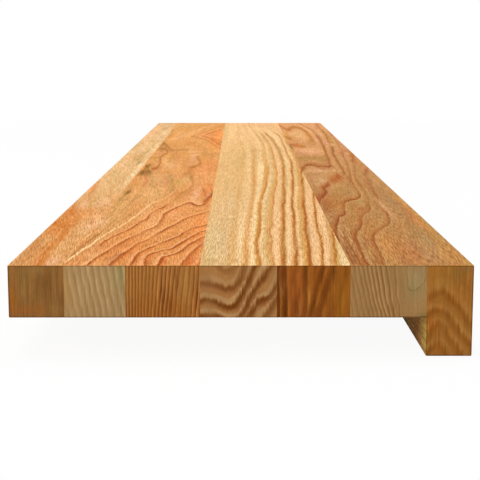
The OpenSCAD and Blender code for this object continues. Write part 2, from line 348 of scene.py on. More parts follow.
ORANGE_STROKES = stroke_rows(
    ("#946014", 0.95, 2.2, ((-73.5, 389), (-72, 411), (-72, 443))),
    ("#6C400C", 0.9, 0.75, ((-73.6, 446), (-73.3, 438))),
    ("#6C400C", 0.9, 0.75, ((-73.4, 402), (-72.6, 396), (-71.6, 386))),
    ("#744810", 0.85, 0.7, ((-70.4, 414), (-69.8, 404), (-67.7, 398))),
    ("#D8A054", 0.7, 0.6, ((-71.6, 418), (-71.2, 410))),
    ("#C08A48", 0.5, 0.8, ((-65, 377), (-61, 388), (-57, 384), (-53, 388))),
    ("#C08844", 0.6, 0.8, ((-62, 315), (-56.5, 291), (-52.5, 268))),
    ("#C08A3C", 0.6, 0.8, ((-48, 349), (-45, 315), (-44, 283))),
    ("#C48C48", 0.4, 0.8, ((-45, 543), (-41, 560), (-34, 565), (-17, 543))),
    ("#8E5C1C", 0.9, 2, ((-71, 389), (-67, 385))),
    ("#C4783E", 0.8, 0.95, ((-70, 381), (-66.5, 353), (-65, 327), (-65, 308))),
    ("#B58A4A", 0.6, 0.84, ((-67, 381), (-62.5, 353), (-60.5, 315))),
    ("#9A7230", 0.7, 0.72, ((-72.5, 262), (-73, 246), (-74, 228))),
    ("#C08C48", 0.6, 0.9, ((-72.5, 279), (-71.5, 302), (-70.5, 334), (-70.5, 353))),
    ("#B88040", 0.7, 2.2, ((-74.5, 668), (-71, 625), (-70, 600))),
    ("#9A6626", 0.75, 0.85, ((-74.8, 690), (-69.5, 649), (-64, 606), (-60, 581))),
    ("#9A6626", 0.7, 0.8, ((-73.8, 668), (-73.7, 625), (-74.5, 591))),
    ("#A26C2A", 0.6, 0.8, ((-68.5, 633), (-69.7, 610), (-71.5, 591))),
    ("#AE6C2C", 0.85, 0.95, ((-73.5, 612), (-68.5, 606), (-64.5, 584), (-64, 563), (-66.5, 543),
        (-67.5, 523), (-66, 495), (-64, 468), (-64, 447), (-64.5, 431))),
    ("#B0601F", 0.95, 1.37, ((-64.5, 427), (-65.5, 419), (-67, 423))),
    ("#C08040", 0.8, 1.37, ((-65, 595), (-59, 598), (-48, 598))),
    ("#D0904E", 0.45, 1.37, ((-48, 595), (-36, 595), (-24.5, 601))),
    ("#C08A3C", 0.7, 1.16, ((-74.5, 511), (-70.5, 514), (-68, 523))),
    ("#BE7830", 0.95, 1.26, ((-36, 523), (-33.5, 495), (-32, 473), (-32, 456), (-34.5, 443), (-38, 431))),
    ("#D08C48", 0.6, 2.73, ((-32, 548), (-27.5, 543), (-22, 538))),
    ("#D69850", 0.5, 1.37, ((-48, 574), (-44, 523), (-43.5, 486), (-45, 451), (-46, 427))),
    ("#D09450", 0.6, 1.26, ((-61, 574), (-57.5, 533), (-57, 495), (-53, 468))),
    ("#C08C4C", 0.75, 1.37, ((-51, 371), (-47, 334), (-46.5, 302), (-45, 279))),
    ("#C07E3C", 0.85, 1.05, ((-41, 381), (-37, 389), (-35, 374), (-35, 353), (-32.5, 334), (-32, 302),
        (-33, 282), (-35.5, 271), (-38, 254), (-39.5, 236))),
    ("#C68A48", 0.5, 0.95, ((-41, 374), (-38, 364), (-35.5, 353))),
    ("#D0A048", 0.5, 1.26, ((-45.5, 321), (-43.5, 330), (-42, 321))),
    ("#CC7C38", 0.6, 0.8, ((-50, 769), (-41.5, 813), (-30, 884), (-22.5, 939))),
    ("#C87834", 0.7, 0.8, ((-50, 769), (-42, 748), (-33, 717), (-25, 657), (-18, 610))),
    ("#C86A2C", 0.7, 0.75, ((-39, 773), (-31.5, 824), (-21.5, 884))),
    ("#C46628", 0.8, 0.8, ((-39, 773), (-31, 744), (-25, 699), (-19, 657))),
    ("#D47A38", 0.6, 0.7, ((-35, 797), (-28.5, 830), (-21, 852))),
    ("#D47A38", 0.65, 0.7, ((-34, 763), (-27, 735), (-18.5, 699))),
    ("#D88040", 0.5, 0.7, ((-28, 790), (-22, 775), (-18, 750))),
    ("#F4B47A", 0.6, 1.56, ((-67, 730), (-62, 758), (-56, 788), (-49.5, 846), (-40.5, 920), (-32, 958))),
    ("#D09A54", 0.5, 1.44, ((-73.5, 902), (-65, 920), (-55.5, 911))),
    ("#B08446", 0.7, 0.52, ((-74.5, 75), (-74, 98), (-73, 130), (-72, 166), (-72, 197), (-71, 226))),
    ("#A87A3C", 0.65, 0.45, ((-72, 68), (-70.5, 91), (-68.5, 119), (-67.5, 142))),
    ("#B4884C", 0.55, 0.72, ((-69, 171), (-67, 197), (-65.5, 226), (-63, 246))),
    ("#B4884C", 0.5, 0.63, ((-74, 188), (-73, 221), (-68.5, 241))),
    ("#8E6430", 0.75, 0.45, ((-76, 21), (-75, 40), (-74, 59), (-72.5, 73), (-71, 88))),
    ("#B08850", 0.5, 0.45, ((-68.5, 98), (-65.5, 123), (-63, 150), (-59.5, 179))),
    ("#A24A16", 0.9, 0.81, ((-17.5, 251), (-19.5, 241), (-20, 231), (-22, 221))),
    ("#B45C20", 0.7, 0.63, ((-24.5, 285), (-22.5, 262), (-21.5, 241), (-22.5, 221))),
    ("#B45C20", 0.7, 0.63, ((-21, 241), (-19.5, 226), (-20.5, 211))),
    ("#C4662A", 0.7, 0.75, ((-23.5, 2), (-23.5, 14), (-22, 30), (-20, 50), (-18, 62))),
    ("#A85A24", 0.85, 1.12, ((-56.5, 4), (-55.5, 12), (-54.5, 20))),
)
STRAW_STAINS = stain_rows(
    (-12, 60, 7, 80, "#D2B280", 0.85), (-15, 20, 3, 60, OLIVE, 0.35), (-16, 860, 3, 170, OLIVE, 0.35),
    (2, 520, 17, 130, OLIVE, 0.33), (16, 590, 3.5, 30, ORANGE_BROWN, 0.3), (-9, 320, 4, 90, KHAKI, 0.45),
    (-6, 190, 9, 70, "#E8C490", 0.5), (5.5, 70, 1.1, 70, PEACH, 0.7, 1), (0, 80, 0.9, 70, CREAM, 0.6, 1),
    (12.5, 130, 2, 60, AMBER, 0.5, 3), (17, 60, 1.6, 50, PEACH, 0.6, 2),
    (11, 357, 1.4, 24, RED_ORANGE, 0.4), (35, 170, 12, 140, PEACH, 0.45, 4), (45, 470, 3, 90, PEACH, 0.5),
    (25, 960, 30, 45, PEACH, 0.7), (44, 880, 5, 70, PEACH, 0.5),
)
STRAW_STROKES = stroke_rows(
    ("#9A5418", 0.85, 0.85, ((35.5, 130), (33.5, 84), (32.5, 53), (30, 7))),
    ("#B46C2C", 0.8, 0.85, ((38.5, 226), (36.5, 158), (35.5, 130))),
    ("#A05E20", 0.8, 0.85, ((27, 75), (26.5, 44), (25.5, 28), (24, 7))),
    ("#985414", 0.85, 0.85, ((20.5, 41), (20, 22), (19, 4))),
    ("#B47C38", 0.7, 0.85, ((32, 226), (30, 158), (27, 84))),
    ("#C88430", 0.7, 0.85, ((12, 202), (11, 146), (9.5, 101), (8, 68), (8, 39), (8.5, 7))),
    ("#BC7A28", 0.6, 1, ((28.5, 279), (26, 202), (24.5, 158))),
    ("#C8843C", 0.8, 1, ((24.5, 154), (22.5, 119))),
    ("#B07828", 0.7, 0.9, ((22.5, 108), (21, 68), (20, 39))),
    ("#C07E34", 0.6, 0.85, ((41.5, 115), (40.5, 84), (39, 59))),
    ("#B88430", 0.7, 1.2, ((45.5, 68), (44, 39), (42, 4))),
    ("#E0A860", 0.5, 1, ((-5, 7), (-3.5, 39), (-5, 68), (-3.5, 108))),
    ("#F0B47C", 0.6, 1, ((3.5, 138), (3, 84))),
    ("#E2A460", 0.5, 0.9, ((2, 7), (2, 39), (3, 75))),
    ("#C08C3C", 0.6, 1.1, ((36, 495), (34.5, 411), (32.5, 340), (29.5, 279))),
    ("#B07C38", 0.5, 0.85, ((43.5, 495), (41, 411), (38, 340), (35, 279))),
    ("#B88438", 0.6, 0.9, ((46.5, 396), (44, 327), (41.5, 268))),
    ("#C09048", 0.6, 0.9, ((37.5, 617), (36.5, 514))),
    ("#D8A868", 0.5, 0.9, ((-8.5, 226), (-9, 158), (-10, 101))),
)
RUSSET_STAINS = stain_rows(
    (50, 195, 3.8, 66, RED_BROWN, 0.45), (51, 120, 3, 40, RED_BROWN, 0.22),
    (58, 200, 9, 80, "#B06014", 0.3), (54, 215, 6, 50, "#A85006", 0.22), (71, 238, 3.4, 9, "#C06A34", 0.4),
    (71, 185, 3, 14, "#B4602C", 0.4, 10), (66, 130, 3.4, 22, ORANGE_BROWN, 0.35),
    (62, 190, 2.4, 40, OLIVE, 0.25), (72, 215, 3, 26, OLIVE, 0.35), (66, 290, 6, 40, OLIVE, 0.2),
    (70, 60, 6, 50, AMBER, 0.35), (78, 30, 9, 30, RED_ORANGE, 0.18), (89, 70, 2.6, 30, "#A68050", 0.7),
    (84, 30, 3, 22, GREY_BROWN, 0.5), (92, 20, 2.4, 22, AMBER, 0.45),
    (97.8, 190, 1.6, 60, DEEP_ORANGE, 0.6), (95, 130, 1.6, 40, DEEP_ORANGE, 0.45, -3),
    (91, 210, 2.6, 70, GREY_BROWN, 0.5), (84, 190, 1.6, 60, PINK, 0.3), (97, 30, 2.2, 34, RED_ORANGE, 0.35),
    (56, 330, 5, 24, "#C8966A", 0.6), (60, 408, 10, 14, "#DCA878", 0.7), (62, 480, 9, 14, "#D09C5C", 0.6),
    (62, 580, 11, 34, "#EEB080", 0.7), (51, 700, 3, 30, "#DC9450", 0.6), (62, 790, 8, 60, "#ECB878", 0.8),
    (77, 840, 3, 60, "#FAB47E", 0.7), (77, 730, 3, 40, "#F6B484", 0.7), (85.5, 690, 3, 40, "#F6B082", 0.7),
    (87, 800, 2.6, 50, "#EEB482", 0.6), (84, 925, 4, 18, "#EEA47E", 0.7), (72, 940, 5, 20, "#FAB478", 0.6),
    (89, 905, 2.2, 20, "#B67C4A", 0.6), (94, 706, 2.6, 30, "#CDA464", 0.7),
    (89, 565, 2.2, 20, "#D88658", 0.6), (94.5, 560, 2, 20, "#D2A86C", 0.6),
    (93.5, 488, 1.4, 12, "#B8642C", 0.8), (86, 470, 5, 60, "#C89A5C", 0.5),
    (96.5, 412, 1.6, 10, "#C07844", 0.7),
)
RUSSET_STROKES = stroke_rows(
    ("#BE7A2C", 1, 2.21, ((55, 868), (59.5, 902), (64, 924), (70, 902), (73, 851), (74, 788), (73, 717),
        (71, 677))),
    ("#D0925A", 0.67, 1.79, ((71, 677), (63.5, 653), (56.5, 647))),
    ("#C26C32", 0.85, 1.8, ((46.5, 958), (50, 920), (53, 885), (56.5, 876))),
    ("#B4681E", 0.9, 2.2, ((49, 758), (51, 737))),
    ("#D0903C", 0.67, 1.93, ((51.5, 835), (50, 773))),
    ("#C0682C", 0.9, 1.9, ((50, 653), (55, 649))),
    ("#C87A2C", 1, 1.93, ((55.5, 641), (60, 637))),
    ("#9E6C30", 1, 1.79, ((48, 641), (47.5, 617))),
    ("#AE8040", 0.95, 1.69, ((49.5, 514), (55.5, 517), (61, 515), (67.5, 510), (74, 508))),
    ("#B07038", 1, 1.33, ((49.5, 419), (51.5, 441), (56, 450), (59, 441), (61, 430), (63.5, 425),
        (68.5, 429), (72, 439))),
    ("#BC7C44", 0.9, 1.21, ((57.5, 468), (61.5, 464), (64.5, 455))),
    ("#BE8650", 0.84, 1.21, ((48.5, 372), (53.5, 380), (57.5, 379))),
    ("#C48A58", 0.67, 1.09, ((48.5, 347), (52.5, 353))),
    ("#B25A12", 0.85, 2.2, ((65, 336), (68, 348), (71.5, 362))),
    ("#AC5420", 0.9, 1.3, ((71.5, 374), (71, 357))),
    ("#A04A1C", 1, 1.24, ((60.5, 315), (56.5, 291), (56, 271), (54.5, 257), (50.5, 241), (48, 228))),
    ("#A85024", 0.9, 0.828, ((55, 302), (56, 285))),
    ("#B27038", 0.9, 1.24, ((82.5, 773), (82, 717), (79, 629), (76.5, 574), (74, 514), (73, 477),
        (72.5, 443))),
    ("#AC6E38", 0.9, 1.24, ((87.5, 629), (82.5, 563), (81.5, 523), (80, 486), (78.5, 435), (77.5, 381),
        (77, 334))),
    ("#BE8838", 0.95, 2.07, ((92, 851), (93, 803), (91.5, 744), (90, 690))),
    ("#C8845A", 0.67, 1.66, ((99, 690), (97, 629), (92, 563), (89, 514), (86.5, 468))),
    ("#B87830", 0.9, 1.45, ((98, 563), (96, 528), (94, 486))),
    ("#BC6C38", 0.9, 1.33, ((95.5, 509), (93.5, 477))),
    ("#A8743C", 0.67, 0.966, ((93, 468), (88, 411), (84.5, 360))),
    ("#BE7C48", 0.9, 1.4, ((98, 431), (96, 404))),
    ("#A4683A", 0.9, 1.09, ((95.5, 404), (91.5, 374), (90.5, 347), (88.5, 308), (86.5, 268), (85.5, 236))),
    ("#C09048", 0.67, 2.28, ((99, 246), (99, 188), (99, 130), (97, 68), (96.5, 25), (97.5, 2))),
    ("#8E461C", 1, 0.6, ((47.5, 94), (48, 68), (48.5, 39), (48.5, 4))),
    ("#8E461C", 1, 0.55, ((51, 81), (51.5, 47), (51.5, 20), (51.5, 2))),
    ("#9A5424", 0.8, 0.55, ((55, 88), (55, 59), (54.5, 39))),
    ("#8A4818", 0.8, 0.32, ((58.4, 60), (57.8, 30), (57.4, 4))),
    ("#8A4818", 0.8, 0.3, ((49.6, 88), (49.9, 45), (50, 4))),
    ("#8A4818", 0.8, 0.3, ((53.4, 100), (53.3, 60), (53.2, 4))),
    ("#8A4818", 0.8, 0.3, ((56.6, 96), (56.4, 70), (56.1, 40))),
    ("#8A4818", 0.7, 0.3, ((60.6, 84), (60.2, 50), (59.6, 4))),
    ("#8A4818", 0.7, 0.3, ((47, 120), (47.6, 104), (48, 92))),
    ("#E0B070", 0.7, 0.3, ((50.4, 110), (50.6, 92), (50.8, 84))),
    ("#E0B070", 0.6, 0.3, ((54.4, 118), (54.6, 96), (54.7, 84))),
    ("#D8A868", 0.67, 0.598, ((53.5, 78), (53.5, 50), (53.5, 22))),
    ("#AC7040", 0.4, 2.24, ((72, 7), (77, 39), (80, 68))),
    ("#B0703C", 0.67, 0.862, ((78, 7), (80.5, 33), (82.5, 59))),
    ("#D8A05C", 0.67, 0.69, ((92.5, 44), (92, 30), (92, 20))),
)

# Growth rings on the end faces: ring number, how dark, and places in mm from the stave's window side
# and underside
END_RINGS = {
    "stave_1": (
        (0, 0.3, ((2, 0), (1.5, 12), (1, 23))),
        (2, 0.5, ((8, 0), (9, 12), (9, 23))),
        (4, 0.7, ((17, 0), (17.3, 12), (17, 23))),
        (5, 0.4, ((23, 0), (23.5, 12), (23, 23))),
    ),
    "stave_2": (
        (0, 0.5, ((5, 0), (2.8, 12), (0.8, 23))),
        (3, 0.9, ((13.5, 0), (11.3, 12), (9.5, 23))),
        (6, 0.9, ((22, 0), (19.7, 12), (18, 23))),
        (8, 1, ((28.5, 0), (26, 12), (24.5, 23))),
    ),
    "stave_3": (
        (0, 1, ((0.2, 0), (0.2, 12), (0.3, 23))),
        (4, 0.9, ((5.3, 0), (5.7, 12), (6, 23))),
        (8, 0.7, ((11, 0), (11.7, 12), (12.4, 23))),
        (10.5, 1.2, ((15, 0), (16, 12), (17, 23))),
        (12, 1, ((17.4, 0), (18.5, 12), (19.6, 23))),
        (14, 0.9, ((21, 0), (22, 12), (23.4, 23))),
        (16, 0.5, ((25.8, 0), (27, 12), (28, 23))),
        (18, 1.3, ((30, 0), (31, 12), (31.6, 23))),
    ),
    "stave_4": (
        (5, 0.5, ((5, 25), (8, 23), (12, 20.3), (15, 22.5), (16, 25))),
        (4, 0.8, ((0, 15), (4, 15.2), (8, 14), (12, 12.7), (15, 14.3), (17, 17), (18.8, 23))),
        (3, 1.2, ((0, 7), (4, 7.4), (8, 6.5), (12.4, 4.6), (15.6, 6.6), (18, 10), (20, 14), (22.3, 20),
            (23.5, 23))),
        (2, 1.1, ((0, 0.5), (5, 1.3), (8, 0.6), (12, -2), (16, -0.5), (18.8, 2.7), (21.9, 8.9),
            (24.6, 14.4), (28.5, 19.9), (31, 24))),
        (1, 1.2, ((20.5, 0), (21.9, 2.7), (24.6, 6.2), (27.4, 8.2), (30.5, 9.7), (33, 14.5))),
        (0, 0.9, ((27.5, 0), (28.5, 1.5), (31.3, 5), (33, 8))),
    ),
    "stave_5": (
        (0, 1, ((0.6, 0), (0.6, 12), (0.5, 23))),
        (1, 1.3, ((4.2, 0), (3.6, 8), (3, 15), (3, 23))),
        (2, 0.4, ((8, 0), (8.6, 12), (9, 23))),
        (3, 1, ((11.6, 0), (12.2, 12), (12.6, 23))),
        (4, 0.9, ((15, 0), (16.2, 8), (18, 16), (20.5, 23))),
        (5, 0.9, ((18.5, 0), (20.5, 8), (22.5, 15), (24.5, 23))),
        (6, 0.3, ((25, 0), (28, 10), (31.5, 23))),
    ),
    "stave_6": (
        (0, 0.6, ((4, 0), (2, 10), (0, 21))),
        (2, 0.9, ((8.8, 0), (6.2, 11), (4, 21), (3.6, 23))),
        (6, 1.1, ((15.8, 0), (13, 10), (10.9, 23))),
        (8, 1.3, ((19.3, 0), (17, 12), (15.2, 23))),
        (9.5, 0.4, ((23.5, 0), (21.5, 10), (21, 23))),
        (10, 0.5, ((24.5, 23), (24.8, 17), (27.3, 12), (30.5, 14.5), (32, 21))),
        (10.6, 0.3, ((28, 21), (28, 17))),
        (9, 0.1, ((28, 5), (32, 8))),
    ),
    "drop_edge": (
        (4, 0.15, ((0, 33), (6, 36), (12, 34), (20, 29))),
        (3, 0.9, ((0, 25.5), (3, 27.4), (5.6, 28.7), (8.6, 27), (11.2, 24), (15, 20.5), (17, 17.4),
            (20, 13))),
        (2, 1, ((0, 18.7), (2.6, 20), (5.2, 20.4), (7.3, 18.7), (10.3, 16), (13, 12), (16, 8), (20, 4))),
        (1, 0.7, ((0, 9), (3, 12), (5.5, 14.5), (7.5, 11.5), (10, 8), (12.5, 5), (15, 0))),
        (0, 0.8, ((0, 1), (3, 4), (5.5, 5.5), (8, 2), (9, 0))),
    ),
}
END_STAINS = {
    "stave_1": stain_rows(
        (1.8, 8, 1.6, 8, "#A05A18", 0.7), (17, 17, 1.6, 6, "#6E4418", 0.6),
        (13, 3.8, 12, 1.8, "#A05C22", 0.55), (23.6, 10, 1, 5, "#6A4018", 0.5),
        (12, 21, 5, 3, "#9C7440", 0.5), (20, 4, 4, 2, "#8A6E3C", 0.6), (6, 3, 8, 0.9, "#9E5828", 0.35),
        (7, 16, 1.4, 7, "#92703A", 0.5),
    ),
    "stave_2": stain_rows(
        (24, 18, 4, 7, "#8C8850", 0.45), (1.5, 11, 2.5, 9, "#A87C40", 0.6), (8, 4, 6, 5, "#A88050", 0.4),
    ),
    "stave_3": stain_rows(
        (16, 3, 18, 8, "#98520E", 0.55), (15.8, 9, 0.9, 6, "#6E3204", 0.85),
        (18.6, 6, 1.2, 5, "#7A3A08", 0.8), (22, 17, 1, 5, "#6E3A10", 0.7),
        (30.8, 7, 1.3, 8, "#86420C", 0.75), (19, 19, 4, 3, "#A0602C", 0.5),
        (26, 14, 2.2, 9, "#A4743A", 0.6),
    ),
    "stave_4": stain_rows(
        (3, 15, 4, 2.4, "#96603C", 0.6), (11, 12.5, 4, 2.4, "#8C4C24", 0.5),
        (12.5, 4.6, 3, 1.8, "#86420E", 0.7), (27, 7.5, 3.5, 3, "#8C4820", 0.6, 30),
    ),
    "stave_5": stain_rows(
        (0.5, 12, 0.9, 20, "#5E3208", 0.85), (3.6, 3, 1.3, 8, "#5A2C04", 0.8),
        (2.6, 20, 1.2, 3, "#8E4420", 0.7), (1.9, 13, 0.9, 3.5, "#9A6434", 0.7),
        (8, 11, 3.2, 14, "#9E5420", 0.8), (10, 3.5, 0.7, 4, "#A66A34", 0.7, 14),
        (12.4, 19, 1, 5, "#6A380A", 0.8), (13.5, 9, 1, 4, "#B0722E", 0.8),
        (16, 5, 1.6, 5, "#6E440C", 0.6, 10), (20, 14, 2.2, 6, "#7C400A", 0.8),
        (24.2, 20, 1.3, 3, "#6E420C", 0.7), (28, 8, 3.6, 10, "#98601A", 0.85),
        (18, 0, 2.5, 3, "#88481A", 0.4),
    ),
    "stave_6": stain_rows(
        (28, 15, 5, 9, "#94855A", 0.6), (28, 12, 2.4, 1.2, "#7E7240", 0.6),
        (28.5, 17.5, 1.6, 3, "#A0845C", 0.6), (27, 3.5, 2.5, 2.5, "#AA8050", 0.6),
        (32, 0.5, 2.5, 1.6, "#6E6434", 0.7), (18, 2, 2, 6, "#8E5C30", 0.5),
    ),
    "drop_edge": stain_rows(
        (1.7, 13.5, 2.3, 3.2, "#A4540C", 0.8), (12, 36, 2.5, 4, "#88642A", 0.6),
        (17, 38.5, 3, 1.4, "#8A6C3C", 0.6), (10.5, 25.5, 2.2, 2.2, "#94500E", 0.6, -30),
        (6, 33, 4, 3, "#A87A34", 0.5), (5.6, 4, 1.6, 1.8, "#B05E20", 0.6),
        (10.3, 7.5, 1.5, 2.2, "#905A1A", 0.6), (17, 14, 1, 5, "#7E4A14", 0.6),
        (10, 6, 12, 8, "#B07434", 0.4), (15, 11, 3, 7, "#A8763A", 0.4, -10),
    ),
}


def wood_colour(name, description, text):
    """A colour property whose default is given as sRGB."""
    return bpy.props.FloatVectorProperty(
        name=name, description=description, subtype="COLOR", size=3, min=0.0, max=1.0, default=srgb(text)
    )


def length_mm(name, description, value, low, high):
    """A length property, in metres inside and with its default given in millimetres."""
    return bpy.props.FloatProperty(
        name=name, description=description, subtype="DISTANCE", unit="LENGTH", precision=5,
        default=value * MM, min=low * MM, max=high * MM,
    )


class SillSizes(bpy.types.PropertyGroup):
    arris_radius: length_mm("Arris radius", "Radius of the sanded outer arrises", 0.6, 0.1, 3)
    cell_across: length_mm("Cell across", "Width of a mesh cell across the grain", 0.75, 0.5, 5)
    cell_height: length_mm("Cell height", "Height of a mesh cell through the thickness", 1.9, 0.5, 10)
    cells_along: bpy.props.IntProperty(
        name="Cells along", description="Mesh cells along the board, a multiple of 12", default=300,
        min=12, max=600,
    )
    relief: length_mm("Relief", "Depth of pores and height of late wood", 0.02, 0, 1)


class SillColours(bpy.types.PropertyGroup):
    # Each far tone is paler than its near one: painted sheen of the oil where it is seen at a glancing angle,
    # over the wood's own colour
    amber_near: wood_colour("Amber, near end", "Stave 1 at the near end", "#D99A57")
    amber_far: wood_colour("Amber, far end", "Stave 1 at the far end", "#E9BA80")
    orange_near: wood_colour("Orange, near end", "Staves 2 and 3 at the near end", "#DE934F")
    orange_far: wood_colour("Orange, far end", "Staves 2 and 3 at the far end", "#E5A258")
    straw_near: wood_colour("Straw, near end", "Staves 4 and 5 at the near end", "#E2AF6E")
    straw_far: wood_colour("Straw, far end", "Staves 4 and 5 at the far end", "#FAC88A")
    russet_near: wood_colour("Russet, near end", "Stave 6 and the drop edge at the near end", "#B47F44")
    russet_far: wood_colour("Russet, far end", "Stave 6 and the drop edge at the far end", "#E5A266")
    stave_1_end: wood_colour("Stave 1 end", "End grain of stave 1", "#8A5F2F")
    stave_2_end: wood_colour("Stave 2 end", "End grain of stave 2", "#A98659")
    stave_3_end: wood_colour("Stave 3 end", "End grain of stave 3", "#A46A30")
    stave_4_end: wood_colour("Stave 4 end", "End grain of stave 4", "#A67340")
    stave_5_end: wood_colour("Stave 5 end", "End grain of stave 5", "#915119")
    stave_6_end: wood_colour("Stave 6 end", "End grain of stave 6", "#A07746")
    drop_edge_end: wood_colour("Drop edge end", "End grain of the drop edge", "#9E6629")
    floor: wood_colour("Floor", "Studio floor", "#F4F4F4")


class SillStage(bpy.types.PropertyGroup):
    lens: bpy.props.FloatProperty(
        name="Lens", description="Focal length on a 36 mm sensor", default=91.64, min=20, max=300
    )
    camera_place: bpy.props.FloatVectorProperty(
        name="Camera place", description="Where the camera stands", subtype="XYZ", unit="LENGTH", size=3,
        default=(-0.0008, -1.0147, 0.1320), precision=4,
    )
    camera_tilt: bpy.props.FloatProperty(
        name="Camera tilt", description="How far the camera looks down", subtype="ANGLE", unit="ROTATION",
        default=math.radians(8.95), min=-1.5, max=1.5,
    )
    camera_turn: bpy.props.FloatProperty(
        name="Camera turn", description="How far the camera looks to the left", subtype="ANGLE",
        unit="ROTATION", default=math.radians(-0.052), min=-3.2, max=3.2,
    )
    overhead_power: bpy.props.FloatProperty(
        name="Overhead power", description="Power of the overhead soft light", unit="POWER", default=33, min=0
    )
    front_power: bpy.props.FloatProperty(
        name="Front power", description="Power of the soft light at the near end", unit="POWER",
        default=14, min=0,
    )
    sky_level: bpy.props.FloatProperty(
        name="Sky level", description="Strength of the even light from all round", default=0.45, min=0, max=2
    )
    shadow_depth: bpy.props.FloatProperty(
        name="Shadow depth", description="Share of the floor that takes shadows", subtype="FACTOR",
        default=0.06, min=0, max=1,
    )
    shadow_reach: bpy.props.FloatProperty(
        name="Shadow reach", description="How far from the board's middle the floor takes shadows",
        subtype="DISTANCE", unit="LENGTH", default=1.6, min=0.1, max=10,
    )


# Which pieces a plank on the top is glued from, its record slot, its rings, stains, strokes and bands, on
# which side of a ring line the wood darkens towards it (1 the window side, -1 the room side), how many times
# its figure is longer than wide, how many mm lie between two rings down its thickness, between which distances
# from the near end its tone turns from the near one to the far one, and how its wood looks
Plank = namedtuple("Plank", "name nodes slot rings stains strokes bands dark_side squeeze side_pitch "
                            "turn_from turn_to look")
# How lines, the shade before them and the pale wood after them show along the grain: colours, widths in mm
# and strengths from 0 to 1; then the contrast of the speckle, the lean of the fibres and how far lines wander,
# in mm
Look = namedtuple("Look", "line line_width line_strength shade shade_width shade_strength "
                          "pale pale_width pale_strength fleck_strength lean wander")

PLANKS = {
    "amber": Plank(
        "amber", ("stave_1",), "amber_stave", AMBER_RINGS, AMBER_STAINS,
        AMBER_STROKES, (), 1, 6, 5.0, 150, 450,
        Look("#B0601A", 1.8, 0.90, "#CC7C30", 4.6, 0.75, "#F8C890", 3.0, 0.25, 1.05, -0.12, 1.4),
    ),
    "orange": Plank(
        "orange", ("stave_2", "stave_3"), "orange_stave", ORANGE_RINGS, ORANGE_STAINS,
        ORANGE_STROKES, (), -1, 6, 4.0, 60, 900,
        Look("#98480A", 1.3, 1.0, "#C86A24", 3.8, 0.60, "#FFC084", 1.8, 0.40, 1.0, -0.09, 1.2),
    ),
    "straw": Plank(
        "straw", ("stave_4", "stave_5"), "straw_stave", STRAW_RINGS, STRAW_STAINS,
        STRAW_STROKES, (STRAW_BANDS, STRAW_OUTER_BANDS), 1, 10, 3.0, 300, 900,
        Look("#A65A0E", 1.15, 1.0, "#D89A48", 3.4, 0.45, "#F4C684", 1.2, 0.30, 0.85, 0.02, 1.3),
    ),
    "russet": Plank(
        "russet", ("stave_6", "drop_edge"), "russet_stave", RUSSET_RINGS, RUSSET_STAINS,
        RUSSET_STROKES, (), 1, 6, 4.5, 250, 900,
        Look("#86400A", 1.1, 1.0, "#A85A1C", 4.2, 0.70, "#D2A468", 2.4, 0.30, 1.2, 0.03, 1.5),
    ),
}
# Late-wood colour, line width, strength, early-wood colour and strength on each end face, and the strength of
# the streaks
EndLook = namedtuple("EndLook", "line line_width line_strength pale pale_strength streaks")
END_LOOKS = {
    "stave_1": EndLook("#6C441C", 2.2, 0.30, "#A27842", 0.15, 0.85),
    "stave_2": EndLook("#7E6234", 0.8, 0.42, "#C4A678", 0.35, 0.35),
    "stave_3": EndLook("#62300A", 0.42, 0.65, "#C08C54", 0.40, 0.50),
    "stave_4": EndLook("#703C10", 1.8, 0.85, "#B48C5C", 0.70, 0.30),
    "stave_5": EndLook("#5E300C", 1.6, 0.60, "#B06C2C", 0.35, 0.80),
    "stave_6": EndLook("#74461E", 0.50, 0.50, "#B8946A", 0.35, 0.40),
    "drop_edge": EndLook("#7C430A", 2.0, 0.60, "#B47E40", 0.35, 0.70),
}


class RingSheet:
    """Ring number and line strength at any place: two thin sheets bent through drawn rings."""

    def __init__(self, rings, squeeze):
        self.scale = np.array([1.0, 1.0 / squeeze])
        self.places = np.array([place for _, _, line in rings for place in line], float) * self.scale
        wanted = np.array([(number, strength) for number, strength, line in rings for _ in line], float)
        count = len(self.places)
        flat = np.column_stack([np.ones(count), self.places])
        system = np.zeros((count + 3, count + 3))
        system[:count, :count] = self.bend(self.places) + SHEET_SLACK * np.eye(count)
        system[:count, count:] = flat
        system[count:, :count] = flat.T
        solved = np.linalg.solve(system, np.vstack([wanted, np.zeros((3, 2))]))
        self.weights, self.plane = solved[:count], solved[count:]

    def bend(self, at):
        """How much each drawn place bends the sheet at other places."""
        squared = ((at[:, None, :] - self.places[None, :, :]) ** 2).sum(-1)
        return squared * np.log(squared + TINY)

    def at(self, x, y):
        """Ring number and line strength, in two columns."""
        here = np.column_stack([x, y]) * self.scale
        return self.bend(here) @ self.weights + self.plane[0] + here @ self.plane[1:]

    def with_slopes(self, x, y, step=0.2):
        """Ring number, line strength, and how fast the ring number grows with x and with y."""
        number, strength = self.at(x, y).T
        slope_x = (self.at(x + step, y)[:, 0] - number) / step
        slope_y = (self.at(x, y + step)[:, 0] - number) / step
        return number, np.clip(strength, *STRENGTH_RANGE), slope_x, slope_y


def stain_over(colours, stains, x, y):
    """Blends each stain into the colours at the places x, y."""
    for stain in stains:
        turn = math.radians(stain.turn)
        dx, dy = x - stain.x, y - stain.y
        across = (dx * math.cos(turn) - dy * math.sin(turn)) / stain.radius_x
        along = (dx * math.sin(turn) + dy * math.cos(turn)) / stain.radius_y
        share = stain.strength * np.exp(-(across ** 2 + along ** 2))[:, None]
        colours = colours * (1 - share) + np.array(srgb(stain.colour)) * share
    return colours


